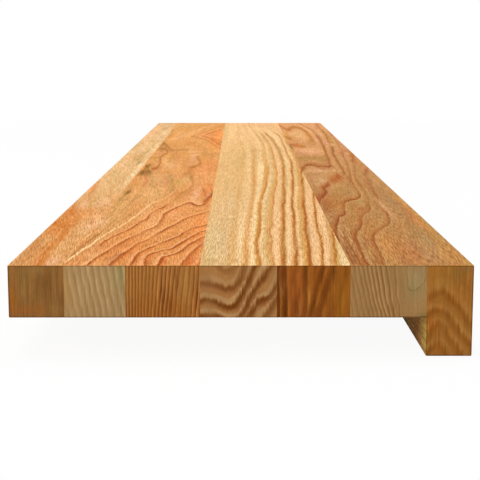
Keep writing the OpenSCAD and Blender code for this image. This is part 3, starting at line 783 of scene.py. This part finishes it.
def stroke_layer(strokes, x, y):
    """Colour and cover of all strokes together at the places x, y."""
    here = np.column_stack([x, y / STROKE_STRETCH])
    colours = np.zeros((len(here), 3))
    bare = np.ones((len(here), 1))
    for stroke in strokes:
        points = np.array(stroke.places, float) / (1, STROKE_STRETCH)
        nearest = np.full(len(here), np.inf)
        for start, end in zip(points, points[1:]):
            run = end - start
            share = np.clip((here - start) @ run / (run @ run), 0, 1)
            nearest = np.minimum(nearest, ((here - start - share[:, None] * run) ** 2).sum(1))
        share = stroke.strength * np.exp(-nearest / stroke.width ** 2)[:, None]
        colours = colours * (1 - share) + np.array(srgb(stroke.colour)) * share
        bare = bare * (1 - share)
    return np.hstack([colours / np.maximum(1 - bare, TINY), 1 - bare])


def is_outer_arris(edge, underside):
    """True for an edge where two outside faces of the board meet."""
    middle = (edge.verts[0].co + edge.verts[1].co) / 2
    faces_met = (
        abs(abs(middle.x) - BOARD_HIGH.x) < NEARLY,
        abs(abs(middle.y) - BOARD_HIGH.y) < NEARLY,
        abs(middle.z - BOARD_HIGH.z) < NEARLY,
        abs(middle.z - underside) < NEARLY,
        underside == 0 and abs(middle.x - DROP_EDGE_BACK) < NEARLY and middle.z < BOARD_UNDERSIDE - NEARLY,
    )
    return sum(faces_met) >= 2


def cut_parallel(bm, axis, shortest, cuts):
    """Cuts every edge that runs along an axis and is longer than shortest."""
    edges = []
    for edge in bm.edges:
        run = edge.verts[1].co - edge.verts[0].co
        if abs(run[axis]) > shortest and abs(run[axis]) > PARALLEL * run.length:
            edges.append(edge)
    bmesh.ops.subdivide_edges(bm, edges=edges, cuts=cuts, use_grid_fill=True)


def stave_blank(node, sizes):
    """Block of one stave with rounded outer arrises, cut into cells for its figure."""
    low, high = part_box(node)
    bm = bmesh.new()
    bmesh.ops.create_cube(bm, size=1.0)
    bmesh.ops.scale(bm, vec=high - low, verts=bm.verts)
    bmesh.ops.translate(bm, vec=(low + high) / 2, verts=bm.verts)
    if low.z < BOARD_UNDERSIDE - MM:
        bmesh.ops.bisect_plane(
            bm, geom=bm.verts[:] + bm.edges[:] + bm.faces[:], plane_co=(0, 0, BOARD_UNDERSIDE),
            plane_no=(0, 0, 1),
        )
    arrises = [edge for edge in bm.edges if is_outer_arris(edge, low.z)]
    bmesh.ops.bevel(
        bm, geom=arrises, offset=sizes.arris_radius, segments=ARRIS_SEGMENTS, profile=0.5, affect="EDGES",
        material=-1, clamp_overlap=True,
    )
    size = high - low
    cut_parallel(bm, 1, size.y * WHOLE_LENGTH, sizes.cells_along - 1)
    cut_parallel(bm, 0, size.x * MOST_OF_WIDTH, round(size.x / sizes.cell_across) - 1)
    for part in sorted({round(abs(e.verts[0].co.z - e.verts[1].co.z), 4) for e in bm.edges}, reverse=True):
        if part > LOWEST_PART:
            cut_parallel(bm, 2, part - MM, round(part / sizes.cell_height) - 1)
    bmesh.ops.recalc_face_normals(bm, faces=bm.faces)
    return bm


Corners = namedtuple("Corners", "vertex face end side arris")


def places_mm(mesh):
    """Place of each vertex in mm, a row each."""
    places = np.empty(len(mesh.vertices) * 3)
    mesh.vertices.foreach_get("co", places)
    return places.reshape(-1, 3) / MM


def face_normals(mesh):
    """Direction in which each face looks, a row each."""
    normals = np.empty(len(mesh.polygons) * 3)
    mesh.polygons.foreach_get("normal", normals)
    return normals.reshape(-1, 3)


def corners_of(mesh):
    """For each face corner: its vertex and face, and whether the face is an end, a side or a lower arris."""
    vertex = np.empty(len(mesh.loops), int)
    mesh.loops.foreach_get("vertex_index", vertex)
    count = np.empty(len(mesh.polygons), int)
    mesh.polygons.foreach_get("loop_total", count)
    normal = face_normals(mesh)
    face = np.repeat(np.arange(len(count)), count)
    end = np.abs(normal[:, 1]) > FACING
    side = (np.abs(normal[:, 0]) > FACING) & ~end
    arris = (np.abs(normal).max(axis=1) < ARRIS_NORMAL[0]) & (normal[:, 2] < ARRIS_NORMAL[1])
    return Corners(vertex, face, end[face], side[face], arris[face])


def paint(mesh, name, kind, values):
    """Stores a value or colour for each face corner."""
    layer = mesh.attributes.new(name, kind, "CORNER")
    flat = np.ascontiguousarray(values, np.float32).ravel()
    layer.data.foreach_set("value" if kind == "FLOAT" else "color", flat)


def figure_long_grain(places, corners, plank, colours):
    """Ring number, line strength, ring pitch and tone of each corner on the faces along the grain."""
    x, y, z = places.T
    sheet = RingSheet(plank.rings, plank.squeeze)
    ring, strength, slope_x, slope_y = (v[corners.vertex] for v in sheet.with_slopes(x, y))
    depth = (BOARD_HIGH.z / MM - z)[corners.vertex]
    ring = plank.dark_side * ring + depth / plank.side_pitch
    slope = np.where(corners.side, 1 / plank.side_pitch, slope_x)
    strength = np.where(depth > SIDE_DEPTH, SIDE_STRENGTH, strength)
    pitch = 1 / np.hypot(slope, slope_y)
    near = np.array(getattr(colours, plank.name + "_near"))
    far = np.array(getattr(colours, plank.name + "_far"))
    # Turning to the paler far tone paints in the sheen of the oil seen at a glancing angle
    share = np.clip((y - plank.turn_from) / (plank.turn_to - plank.turn_from), 0, 1)[:, None]
    tone = stain_over(near * (1 - share) + far * share, plank.stains, x, y)[corners.vertex]
    # Painted light: the drop edge's inner face, in the board's shade, is made paler and greener
    inner = corners.side & (abs(x - DROP_EDGE_BACK / MM)[corners.vertex] < BACK_REACH)
    tone = np.where(inner[:, None], tone * np.array(INNER_FACE_PAINTED_LIGHT), tone)
    return ring, strength, pitch, tone


def figure_end_grain(node, places, corners, colours):
    """The same for the end faces, whose places are counted from the stave's lower window-side corner."""
    low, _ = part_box(node)
    x, z = places[:, 0] - low.x / MM, places[:, 2] - low.z / MM
    sheet = RingSheet(END_RINGS[node], 1)
    ring, strength, slope_x, slope_z = (v[corners.vertex] for v in sheet.with_slopes(x, z))
    pitch = 1 / np.hypot(slope_x, slope_z)
    base = np.tile(np.array(getattr(colours, node + "_end")), (len(x), 1))
    return ring, strength, pitch, stain_over(base, END_STAINS[node], x, z)[corners.vertex]


def paint_figure(mesh, node, plank, colours):
    """Stores the figure on the mesh for the materials to read."""
    places = places_mm(mesh)
    places[:, 1] -= NEAR_END_MM
    corners = corners_of(mesh)
    long_grain = figure_long_grain(places, corners, plank, colours)
    end_grain = figure_end_grain(node, places, corners, colours)
    ring, strength, pitch, tone = (
        np.where(corners.end if along.ndim == 1 else corners.end[:, None], across, along)
        for along, across in zip(long_grain, end_grain)
    )
    # Painted shade: the faces of the lower arrises are darkened
    tone = np.where(corners.arris[:, None], tone * PAINTED_ARRIS_SHADE, tone)
    paint(mesh, "ring", "FLOAT", ring)
    paint(mesh, "strength", "FLOAT", strength)
    paint(mesh, "pitch", "FLOAT", np.clip(pitch, *PITCH_RANGE))
    paint(mesh, "tone", "FLOAT_COLOR", np.column_stack([tone, np.ones(len(tone))]))
    strokes = stroke_layer(plank.strokes, places[:, 0], places[:, 1])[corners.vertex]
    strokes[corners.end, 3] = 0
    paint(mesh, "strokes", "FLOAT_COLOR", strokes)
    return corners


# A noise: how fast it changes with X, Y and Z, for each mm, and its detail and roughness
Noise = namedtuple("Noise", "x y z detail roughness")
SWAY = Noise(0.16, 0.022, 0.16, 2.0, 0.55)
SHIVER = Noise(1.1, 0.22, 1.1, 3.0, 0.75)
PATCHES = Noise(0.12, 0.016, 0.12, 2.0, 0.6)
PORES = Noise(1.9, 0.085, 1.9, 2.0, 0.6)
GRAIN = Noise(0.8, 0.040, 0.8, 2.0, 0.7)
CLOUDS = Noise(0.07, 0.010, 0.07, 3.0, 0.6)
END_SWAY = Noise(0.14, 0.05, 0.10, 2.0, 0.5)
SAW_STREAKS = Noise(0.9, 0.3, 0.04, 3.0, 0.75)
END_PORES = Noise(1.1, 0.4, 0.35, 3.0, 0.7)
END_CLOUDS = Noise(0.12, 0.02, 0.05, 2.0, 0.5)
# Fibres: how fast their noise changes with the ring number and with each mm along the board
FIBRE_STRETCH = (2.2, 0.006)
# How far the slow and the fast noise move a ring line, in times of a plank's wander
SWAY_SPREAD = 2.2
SHIVER_SPREAD = 2.4
WOOD_ROUGHNESS = 0.75
WOOD_SPECULAR = 0.05
# Height of the speckle in the relief, in times of the late wood's
SPECKLE_HEIGHT = 2.3


class Wiring:
    """Adds nodes to a material or a world and joins them."""

    def __init__(self, block):
        self.tree = block.node_tree
        self.tree.nodes.clear()

    def node(self, kind, settings=None, **inputs):
        """A node with its settings and inputs. An input goes by its name, or by its number after an i."""
        made = self.tree.nodes.new(kind)
        for key, value in (settings or {}).items():
            setattr(made, key, value)
        for key, value in inputs.items():
            numbered = key[0] == "i" and key[1:].isdigit()
            socket = made.inputs[int(key[1:]) if numbered else key.replace("_", " ")]
            if isinstance(value, bpy.types.NodeSocket):
                self.tree.links.new(value, socket)
            else:
                socket.default_value = value
        return made

    def math(self, operation, first, second=0.0, third=0.0):
        made = self.node("ShaderNodeMath", {"operation": operation}, i0=first, i1=second, i2=third)
        return made.outputs[0]

    def product(self, first, *others):
        """All factors multiplied, one after the other."""
        for other in others:
            first = self.math("MULTIPLY", first, other)
        return first

    def vector(self, operation, **inputs):
        return self.node("ShaderNodeVectorMath", {"operation": operation}, **inputs)

    def attribute(self, name, output="Fac"):
        return self.node("ShaderNodeAttribute", {"attribute_name": name}).outputs[output]

    def place(self):
        """Object coordinates in metres."""
        return self.node("ShaderNodeTexCoord").outputs["Object"]

    def along_mm(self):
        """Distance from the board's middle towards the far end, in mm."""
        apart = self.node("ShaderNodeSeparateXYZ", Vector=self.place())
        return self.product(apart.outputs["Y"], 1 / MM)

    def noise_at(self, vector, detail, roughness):
        made = self.node("ShaderNodeTexNoise", Vector=vector, Scale=1.0, Detail=detail, Roughness=roughness)
        return made.outputs["Fac"]

    def noise(self, kind, lean=0.0):
        """A noise over the object, with Y leaning by so much X."""
        turn = (0, 0, math.atan(lean))
        turned = self.node("ShaderNodeMapping", {"vector_type": "POINT"}, Vector=self.place(), Rotation=turn)
        scale = (kind.x / MM, kind.y / MM, kind.z / MM)
        scaled = self.vector("MULTIPLY", i0=turned.outputs[0], i1=scale)
        return self.noise_at(scaled.outputs[0], kind.detail, kind.roughness)

    def ramp(self, value, bands):
        """Colour and cover of the bands at a value."""
        first, last = bands[0][0], bands[-1][0]
        made = self.node("ShaderNodeValToRGB", Fac=self.span(value, first, last, smooth=False))
        elements = made.color_ramp.elements
        while len(elements) < len(bands):
            elements.new(0.5)
        for element, (place, colour, cover) in zip(elements, bands):
            element.position = (place - first) / (last - first)
            element.color = (*srgb(colour), cover)
        return made.outputs["Color"], made.outputs["Alpha"]

    def span(self, value, low, high, out_low=0.0, out_high=1.0, smooth=True):
        """Goes from out_low to out_high while the value goes from low to high."""
        made = self.node(
            "ShaderNodeMapRange", {"interpolation_type": "SMOOTHSTEP" if smooth else "LINEAR"},
            Value=value, From_Min=low, From_Max=high, To_Min=out_low, To_Max=out_high,
        )
        return made.outputs["Result"]

    def hump(self, value, start, top_start, top_end, end):
        """Rises from 0 to 1 between start and top_start, and falls again between top_end and end."""
        return self.product(self.span(value, start, top_start), self.span(value, top_end, end, 1.0, 0.0))

    def blend(self, share, first, second, kind="MIX"):
        """First colour with a share of the second one mixed in or, with MULTIPLY, multiplied in."""
        settings = {"data_type": "RGBA", "blend_type": kind}
        return self.node("ShaderNodeMix", settings, i0=share, i6=first, i7=second).outputs[2]

    def uneven(self, colour, noise, swing):
        """Colour made darker and lighter by a noise, by up to the share swing."""
        factor = self.span(noise, 0.25, 0.75, 1 - swing, 1 + swing, smooth=False)
        return self.vector("SCALE", i0=colour, Scale=factor).outputs[0]

    def finish(self, kind, share, first, second):
        """Ends the tree with two shaders, mixed by a share."""
        both = self.node("ShaderNodeMixShader", i0=share, i1=first.outputs[0], i2=second.outputs[0])
        self.node(kind, Surface=both.outputs[0])


def wired(blocks, name):
    """A new material or world, and the wiring for its empty tree."""
    block = blocks.new(name)
    block.use_nodes = True
    return block, Wiring(block)


def colour4(text):
    return (*srgb(text), 1.0)


def wandering_ring(wiring, wander, sway, shiver):
    """Ring number, moved by two noises by up to so many mm."""
    slow = wiring.product(wiring.math("SUBTRACT", sway, 0.5), wander * SWAY_SPREAD)
    fast = wiring.product(wiring.math("SUBTRACT", shiver, 0.5), wander * SHIVER_SPREAD)
    moved = wiring.math("DIVIDE", wiring.math("ADD", slow, fast), wiring.attribute("pitch"))
    return wiring.math("ADD", wiring.attribute("ring"), moved)


def ring_distance(wiring, ring):
    """Signed distance in mm from the nearest ring line."""
    turn = wiring.math("FRACT", wiring.math("ADD", ring, 0.5))
    return wiring.product(wiring.math("SUBTRACT", turn, 0.5), wiring.attribute("pitch"))


def line_presence(wiring, strength, patches):
    """How clearly ring lines show: their strength, made uneven by a noise."""
    return wiring.product(wiring.math("MAXIMUM", strength, 0.0), patches)


def finish_wood(wiring, colour, height, depth):
    """Oil-finished surface from a colour and a height."""
    bump = wiring.node("ShaderNodeBump", Strength=1.0, Distance=depth, Height=height)
    shader = wiring.node(
        "ShaderNodeBsdfPrincipled", Base_Color=colour, Roughness=WOOD_ROUGHNESS,
        Specular_IOR_Level=WOOD_SPECULAR, Normal=bump.outputs[0],
    )
    wiring.node("ShaderNodeOutputMaterial", Surface=shader.outputs[0])


def pore_speckle(wiring, along, lean):
    """Noise of the pores at the near end that turns into the coarser one of the grain farther off."""
    nearness = wiring.span(along, -450.0, 0.0, 1.0, 0.0)
    pores, grain = wiring.noise(PORES, lean), wiring.noise(GRAIN, lean)
    return wiring.math("MULTIPLY_ADD", wiring.math("SUBTRACT", pores, grain), nearness, grain)


def ground_colour(wiring, plank, ring, strength, along):
    """Colour of the wood before specks and ring lines: tone, clouds, bands, strokes and fibres."""
    look = plank.look
    colour = wiring.attribute("tone", "Color")
    clouds = wiring.noise(CLOUDS, look.lean)
    colour = wiring.blend(wiring.span(clouds, 0.50, 0.70, 0.0, 0.28), colour, colour4(look.shade))
    colour = wiring.blend(wiring.span(clouds, 0.50, 0.30, 0.0, 0.25), colour, colour4(look.pale))
    signed_ring = wiring.product(ring, float(plank.dark_side))
    cover = wiring.span(strength, 0.0, 0.7, 0.2, 1.0)
    for bands in plank.bands:
        band, share = wiring.ramp(signed_ring, bands)
        colour = wiring.blend(wiring.product(share, cover), colour, band)
    colour = wiring.blend(wiring.attribute("strokes", "Alpha"), colour, wiring.attribute("strokes", "Color"))
    across_fibres, along_fibres = (wiring.product(way, by) for way, by in zip((ring, along), FIBRE_STRETCH))
    fibres = wiring.node("ShaderNodeCombineXYZ", X=across_fibres, Y=along_fibres)
    return wiring.uneven(colour, wiring.noise_at(fibres.outputs[0], 3.0, 0.65), 0.12)


def flecked(wiring, look, colour, speckle, along):
    """Colour with dark and light specks, which fade with the distance."""
    fading = wiring.span(along, -400.0, 0.0, 1.0, 0.45)
    reach = FLECK_REACH / look.fleck_strength
    light = wiring.span(speckle, 0.5 - reach, 0.5 + reach, smooth=False)
    fleck = wiring.blend(light, (*DARK_FLECK, 1.0), (*LIGHT_FLECK, 1.0))
    return wiring.blend(fading, colour, fleck, "MULTIPLY")


def long_grain_material(plank, sizes):
    """Wood seen along the grain: late-wood lines, pale early wood, speckle of pores and drifting tone."""
    look = plank.look
    material, wiring = wired(bpy.data.materials, plank.name + "_long_grain")
    ring = wandering_ring(wiring, look.wander, wiring.noise(SWAY, look.lean), wiring.noise(SHIVER, look.lean))
    distance = ring_distance(wiring, ring)
    strength = wiring.attribute("strength")
    patches = wiring.span(wiring.noise(PATCHES, look.lean), 0.3, 0.6, 0.6, 1.1)
    presence = line_presence(wiring, strength, patches)
    along = wiring.along_mm()
    speckle = pore_speckle(wiring, along, look.lean)
    colour = flecked(wiring, look, ground_colour(wiring, plank, ring, strength, along), speckle, along)

    width = look.line_width
    line = wiring.hump(distance, -1.2 * width, -0.3 * width, 0.0, 0.5 * width)
    shade = wiring.hump(distance, -look.shade_width, -0.2 * width, 0.0, 0.4 * width)
    pale = wiring.hump(distance, 0.2 * width, 0.7 * width, 0.8 * width, width + look.pale_width)
    share = wiring.product(pale, presence, look.pale_strength)
    colour = wiring.blend(share, colour, colour4(look.pale))
    share = wiring.product(shade, presence, look.shade_strength)
    colour = wiring.blend(share, colour, colour4(look.shade))
    broken = wiring.span(speckle, 0.36, 0.62, 1.15, 0.65)
    share = wiring.product(line, wiring.math("POWER", presence, 1.8), look.line_strength, broken)
    colour = wiring.blend(share, colour, colour4(look.line))
    bleached = wiring.math("MAXIMUM", wiring.product(strength, -1.0), 0.0)
    share = wiring.product(line, bleached, wiring.span(speckle, 0.36, 0.56, 0.3, 1.0))
    colour = wiring.blend(share, colour, colour4(PALE_STREAK))
    height = wiring.math("MULTIPLY_ADD", speckle, SPECKLE_HEIGHT, wiring.product(shade, presence))
    finish_wood(wiring, colour, height, sizes.relief)
    return material


def end_grain_material(node, sizes):
    """Wood cut across the grain: its rings with a fringe of upright saw streaks, and tiny pores."""
    look = END_LOOKS[node]
    width = look.line_width
    material, wiring = wired(bpy.data.materials, node + "_end_grain")
    streaks = wiring.noise(SAW_STREAKS)
    distance = ring_distance(wiring, wandering_ring(wiring, width * 0.8, wiring.noise(END_SWAY), streaks))
    line = wiring.hump(distance, -1.4 * width, -0.1 * width, 0.0, width)
    pale = wiring.hump(distance, 0.3 * width, 1.2 * width, 1.3 * width, 3.0 * width)
    dots = wiring.noise(END_PORES)
    cloudy = wiring.noise(END_CLOUDS)
    presence = line_presence(wiring, wiring.attribute("strength"), wiring.span(cloudy, 0.3, 0.65, 0.6, 1.1))

    colour = wiring.attribute("tone", "Color")
    colour = wiring.blend(wiring.product(pale, presence, look.pale_strength), colour, colour4(look.pale))
    colour = wiring.blend(wiring.product(line, presence, look.line_strength), colour, colour4(look.line))
    for noise, swing in ((streaks, 0.45 * look.streaks), (dots, 0.1), (cloudy, 0.1)):
        colour = wiring.uneven(colour, noise, swing)
    height = wiring.math("MULTIPLY_ADD", streaks, 0.6, wiring.product(dots, 0.5))
    finish_wood(wiring, colour, height, sizes.relief * 0.5)
    return material


# Size in pixels of the texture that a map is packed for, and the gap between its islands
MAP_PIXELS = 1024
MAP_GAP = 4
# Pixels for each mm, along and across the grain, and into how many lengths the face is cut
Island = namedtuple("Island", "along across lengths")
TOP_ISLAND = Island(4.0, 4.0, 4)
UNDERSIDE_ISLAND = Island(2.0, 2.0, 2)
SIDE_ISLAND = Island(3.0, 3.0, 3)
GLUED_ISLAND = Island(0.9, 0.3, 1)
DROP_EDGE_BACK_ISLAND = Island(1.5, 1.5, 2)
END_ISLAND_SCALE = 5.0
# How much smaller the islands get at each try to fit them in
MAP_SHRINK = 0.98


def shelves(boxes, side):
    """Places boxes on shelves from the highest to the lowest, or gives None if they overflow."""
    spots, left, base, shelf = {}, MAP_GAP, MAP_GAP, 0.0
    for key, (width, height) in sorted(boxes.items(), key=lambda item: (-item[1][1], str(item[0]))):
        if left + width + MAP_GAP > side:
            left, base, shelf = MAP_GAP, base + shelf + MAP_GAP, 0.0
        spots[key] = (left, base)
        left += width + MAP_GAP
        shelf = max(shelf, height)
    return spots if base + shelf + MAP_GAP <= side else None


def island_plan(node):
    """Which island each kind of face gets on this stave."""
    low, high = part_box(node)
    window_side = SIDE_ISLAND if low.x <= BOARD_LOW.x + MM else GLUED_ISLAND
    room_side = SIDE_ISLAND if high.x >= BOARD_HIGH.x - MM else GLUED_ISLAND
    if low.z < BOARD_UNDERSIDE - MM:
        window_side = DROP_EDGE_BACK_ISLAND
    return {"top": TOP_ISLAND, "under": UNDERSIDE_ISLAND, "window": window_side, "room": room_side}


def face_kinds(mesh):
    """Kind of each face by the way it looks: top, under, window, room, near or far."""
    normal = face_normals(mesh)
    kinds = np.where(normal[:, 2] > 0, "top", "under").astype(object)
    sideways = np.abs(normal[:, 0]) > FACING
    kinds[sideways] = np.where(normal[sideways, 0] > 0, "room", "window")
    ends = np.abs(normal[:, 1]) > FACING
    kinds[ends] = np.where(normal[ends, 1] > 0, "far", "near")
    return kinds


def packed_islands(size, plan):
    """Size and spot of each island on the map, and how much they had to shrink to fit in."""
    across = {"top": size.x, "under": size.x, "window": size.z, "room": size.z}
    shrink = 1.0
    while True:
        boxes = {}
        for kind, island in plan.items():
            for index in range(island.lengths):
                length = size.y / island.lengths * island.along * shrink
                boxes[kind, index] = (length, across[kind] * island.across * shrink)
        for kind in ("near", "far"):
            boxes[kind, 0] = (size.x * END_ISLAND_SCALE * shrink, size.z * END_ISLAND_SCALE * shrink)
        spots = shelves(boxes, MAP_PIXELS)
        if spots:
            return boxes, spots, shrink
        shrink *= MAP_SHRINK


def map_for_baking(mesh, node, corners):
    """Lays the faces out in cut lengths, so that a square texture holds the long stave finely enough."""
    low, high = (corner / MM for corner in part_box(node))
    size = high - low
    plan = island_plan(node)
    boxes, spots, shrink = packed_islands(size, plan)
    corner_places = (places_mm(mesh) - np.array(low))[corners.vertex]
    kinds = face_kinds(mesh)
    middle = np.zeros(len(mesh.polygons))
    np.add.at(middle, corners.face, corner_places[:, 1])
    middle /= np.bincount(corners.face)
    uv = np.zeros((len(corner_places), 2))
    for kind, index in boxes:
        if kind in plan:
            island = plan[kind]
            length = size.y / island.lengths
            chosen = (kinds == kind) & (np.minimum(middle // length, island.lengths - 1) == index)
            scale = np.array([island.along, island.across]) * shrink
            start = index * length
            columns = (1, 0) if kind in ("top", "under") else (1, 2)
        else:
            chosen = kinds == kind
            scale = np.array([END_ISLAND_SCALE, END_ISLAND_SCALE]) * shrink
            start = 0.0
            columns = (0, 2)
        mask = chosen[corners.face]
        flat = corner_places[mask][:, columns] - np.array([start, 0.0])
        uv[mask] = np.array(spots[kind, index]) + flat * scale
    layer = mesh.uv_layers.new(name="OFBake")
    layer.data.foreach_set("uv", (uv / MAP_PIXELS).astype(np.float32).ravel())


def make_stave(node, plank, long_grain, context):
    """One stave: its block, its figure and its two materials."""
    scene = context.scene
    mesh = bpy.data.meshes.new(node + "_wood")
    bm = stave_blank(node, scene.sill_sizes)
    bm.to_mesh(mesh)
    bm.free()
    corners = paint_figure(mesh, node, plank, scene.sill_colours)
    map_for_baking(mesh, node, corners)
    mesh.materials.append(long_grain)
    mesh.materials.append(end_grain_material(node, scene.sill_sizes))
    ends = np.zeros(len(mesh.polygons), int)
    ends[corners.face] = corners.end
    mesh.polygons.foreach_set("material_index", ends)
    piece = bpy.data.objects.new(node + "_wood", mesh)
    scene.collection.objects.link(piece)
    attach(piece, "root")
    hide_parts(node)


def make_plank(name, context):
    """The staves that share one colour and one figure on the top."""
    plank = PLANKS[name]
    long_grain = long_grain_material(plank, context.scene.sill_sizes)
    for node in plank.nodes:
        make_stave(node, plank, long_grain, context)
    return {"FINISHED"}


class SILL_OT_amber_stave(bpy.types.Operator):
    """Makes the amber stave that meets the window frame"""

    bl_idname = "sill_board.amber_stave"
    bl_label = "Amber stave"

    def execute(self, context):
        return make_plank("amber", context)


class SILL_OT_orange_staves(bpy.types.Operator):
    """Makes the two orange staves with nested rings"""

    bl_idname = "sill_board.orange_staves"
    bl_label = "Orange staves"

    def execute(self, context):
        return make_plank("orange", context)


class SILL_OT_straw_staves(bpy.types.Operator):
    """Makes the two straw-coloured staves with banded rings"""

    bl_idname = "sill_board.straw_staves"
    bl_label = "Straw staves"

    def execute(self, context):
        return make_plank("straw", context)


class SILL_OT_russet_staves(bpy.types.Operator):
    """Makes the russet stave and the drop edge that is glued to it"""

    bl_idname = "sill_board.russet_staves"
    bl_label = "Russet stave and drop edge"

    def execute(self, context):
        return make_plank("russet", context)


WHITE = (1, 1, 1, 1)
# How far the floor reaches from the board's middle, in metres
FLOOR_REACH = 12.0
# Place, aim and side of each lamp, in metres
OVERHEAD_LAMP = ((-0.5, 0.1, 2.2), (0, 0, 0.04), 1.8)
FRONT_LAMP = ((-0.9, -2.0, 0.9), (0, -0.4, 0.03), 1.2)
SENSOR_WIDTH = 36.0


def seen_directly(wiring):
    """1 for camera, glossy and transmission rays, 0 for light that falls on things."""
    path = wiring.node("ShaderNodeLightPath")
    either = wiring.math("MAXIMUM", path.outputs["Is Camera Ray"], path.outputs["Is Glossy Ray"])
    return wiring.math("MAXIMUM", either, path.outputs["Is Transmission Ray"])


def floor_material(colours, stage):
    """White floor that keeps a soft share of the board's shadow, and is plain white farther out."""
    material, wiring = wired(bpy.data.materials, "studio_floor")
    lit = wiring.node("ShaderNodeBsdfDiffuse", Color=(*colours.floor, 1.0))
    white = wiring.node("ShaderNodeEmission", Color=WHITE, Strength=1.0)
    away = wiring.vector("LENGTH", i0=wiring.place()).outputs["Value"]
    plain = wiring.span(away, 0.5 * stage.shadow_reach, stage.shadow_reach, 1 - stage.shadow_depth, 1.0)
    wiring.finish("ShaderNodeOutputMaterial", wiring.product(seen_directly(wiring), plain), lit, white)
    return material


def studio_sky(scene, level):
    """White backdrop for the eye, and an even light of the given level on the board."""
    scene.world, wiring = wired(bpy.data.worlds, "studio_sky")
    shown = wiring.node("ShaderNodeBackground", Color=WHITE, Strength=1.0)
    cast = wiring.node("ShaderNodeBackground", Color=WHITE, Strength=level)
    wiring.finish("ShaderNodeOutputWorld", seen_directly(wiring), cast, shown)


def soft_lamp(scene, name, place, target, side, power):
    """Square area lamp that faces a point."""
    lamp = bpy.data.lights.new(name, "AREA")
    lamp.shape = "SQUARE"
    lamp.size = side
    lamp.energy = power
    holder = bpy.data.objects.new(name, lamp)
    holder.location = place
    holder.rotation_euler = (Vector(target) - Vector(place)).to_track_quat("-Z", "Y").to_euler()
    scene.collection.objects.link(holder)


class SILL_OT_stage(bpy.types.Operator):
    """Sets up the floor, the soft light and the camera"""

    bl_idname = "sill_board.stage"
    bl_label = "Studio stage"

    def execute(self, context):
        scene = context.scene
        stage = scene.sill_stage
        floor_mesh = bpy.data.meshes.new("studio_floor")
        bm = bmesh.new()
        bmesh.ops.create_grid(bm, x_segments=1, y_segments=1, size=FLOOR_REACH)
        bm.to_mesh(floor_mesh)
        bm.free()
        floor_mesh.materials.append(floor_material(scene.sill_colours, stage))
        floor = bpy.data.objects.new("studio_floor", floor_mesh)
        scene.collection.objects.link(floor)
        studio_sky(scene, stage.sky_level)
        soft_lamp(scene, "overhead_light", *OVERHEAD_LAMP, stage.overhead_power)
        soft_lamp(scene, "front_light", *FRONT_LAMP, stage.front_power)
        camera = bpy.data.cameras.new("camera")
        camera.sensor_width = SENSOR_WIDTH
        camera.lens = stage.lens
        holder = bpy.data.objects.new("camera", camera)
        holder.location = stage.camera_place
        holder.rotation_euler = (math.pi / 2 - stage.camera_tilt, 0.0, stage.camera_turn)
        scene.collection.objects.link(holder)
        scene.camera = holder
        scene.view_settings.view_transform = "Standard"
        return {"FINISHED"}


OPERATORS = (
    SILL_OT_amber_stave, SILL_OT_orange_staves, SILL_OT_straw_staves, SILL_OT_russet_staves, SILL_OT_stage,
)


class SILL_PT_panel(bpy.types.Panel):
    """Lists the board's pieces and settings"""

    bl_idname = "SILL_PT_panel"
    bl_label = "Sill board"
    bl_space_type = "VIEW_3D"
    bl_region_type = "UI"
    bl_category = "Sill board"

    def draw(self, context):
        layout = self.layout
        for operator in OPERATORS:
            layout.operator(operator.bl_idname)
        for setting in SETTINGS:
            group = getattr(context.scene, setting)
            column = layout.column()
            for name in group.__annotations__:
                column.prop(group, name)


SETTINGS = {"sill_sizes": SillSizes, "sill_colours": SillColours, "sill_stage": SillStage}


def register():
    for group in SETTINGS.values():
        bpy.utils.register_class(group)
    for name, group in SETTINGS.items():
        setattr(bpy.types.Scene, name, bpy.props.PointerProperty(type=group))
    for panel_or_operator in (*OPERATORS, SILL_PT_panel):
        bpy.utils.register_class(panel_or_operator)


def unregister():
    for panel_or_operator in reversed((*OPERATORS, SILL_PT_panel)):
        bpy.utils.unregister_class(panel_or_operator)
    for name, group in reversed(SETTINGS.items()):
        delattr(bpy.types.Scene, name)
        bpy.utils.unregister_class(group)


def main():
    register()
    bpy.ops.sill_board.amber_stave()
    bpy.ops.sill_board.orange_staves()
    bpy.ops.sill_board.straw_staves()
    bpy.ops.sill_board.russet_staves()
    bpy.ops.sill_board.stage()


if __name__ == "__main__":
    main()
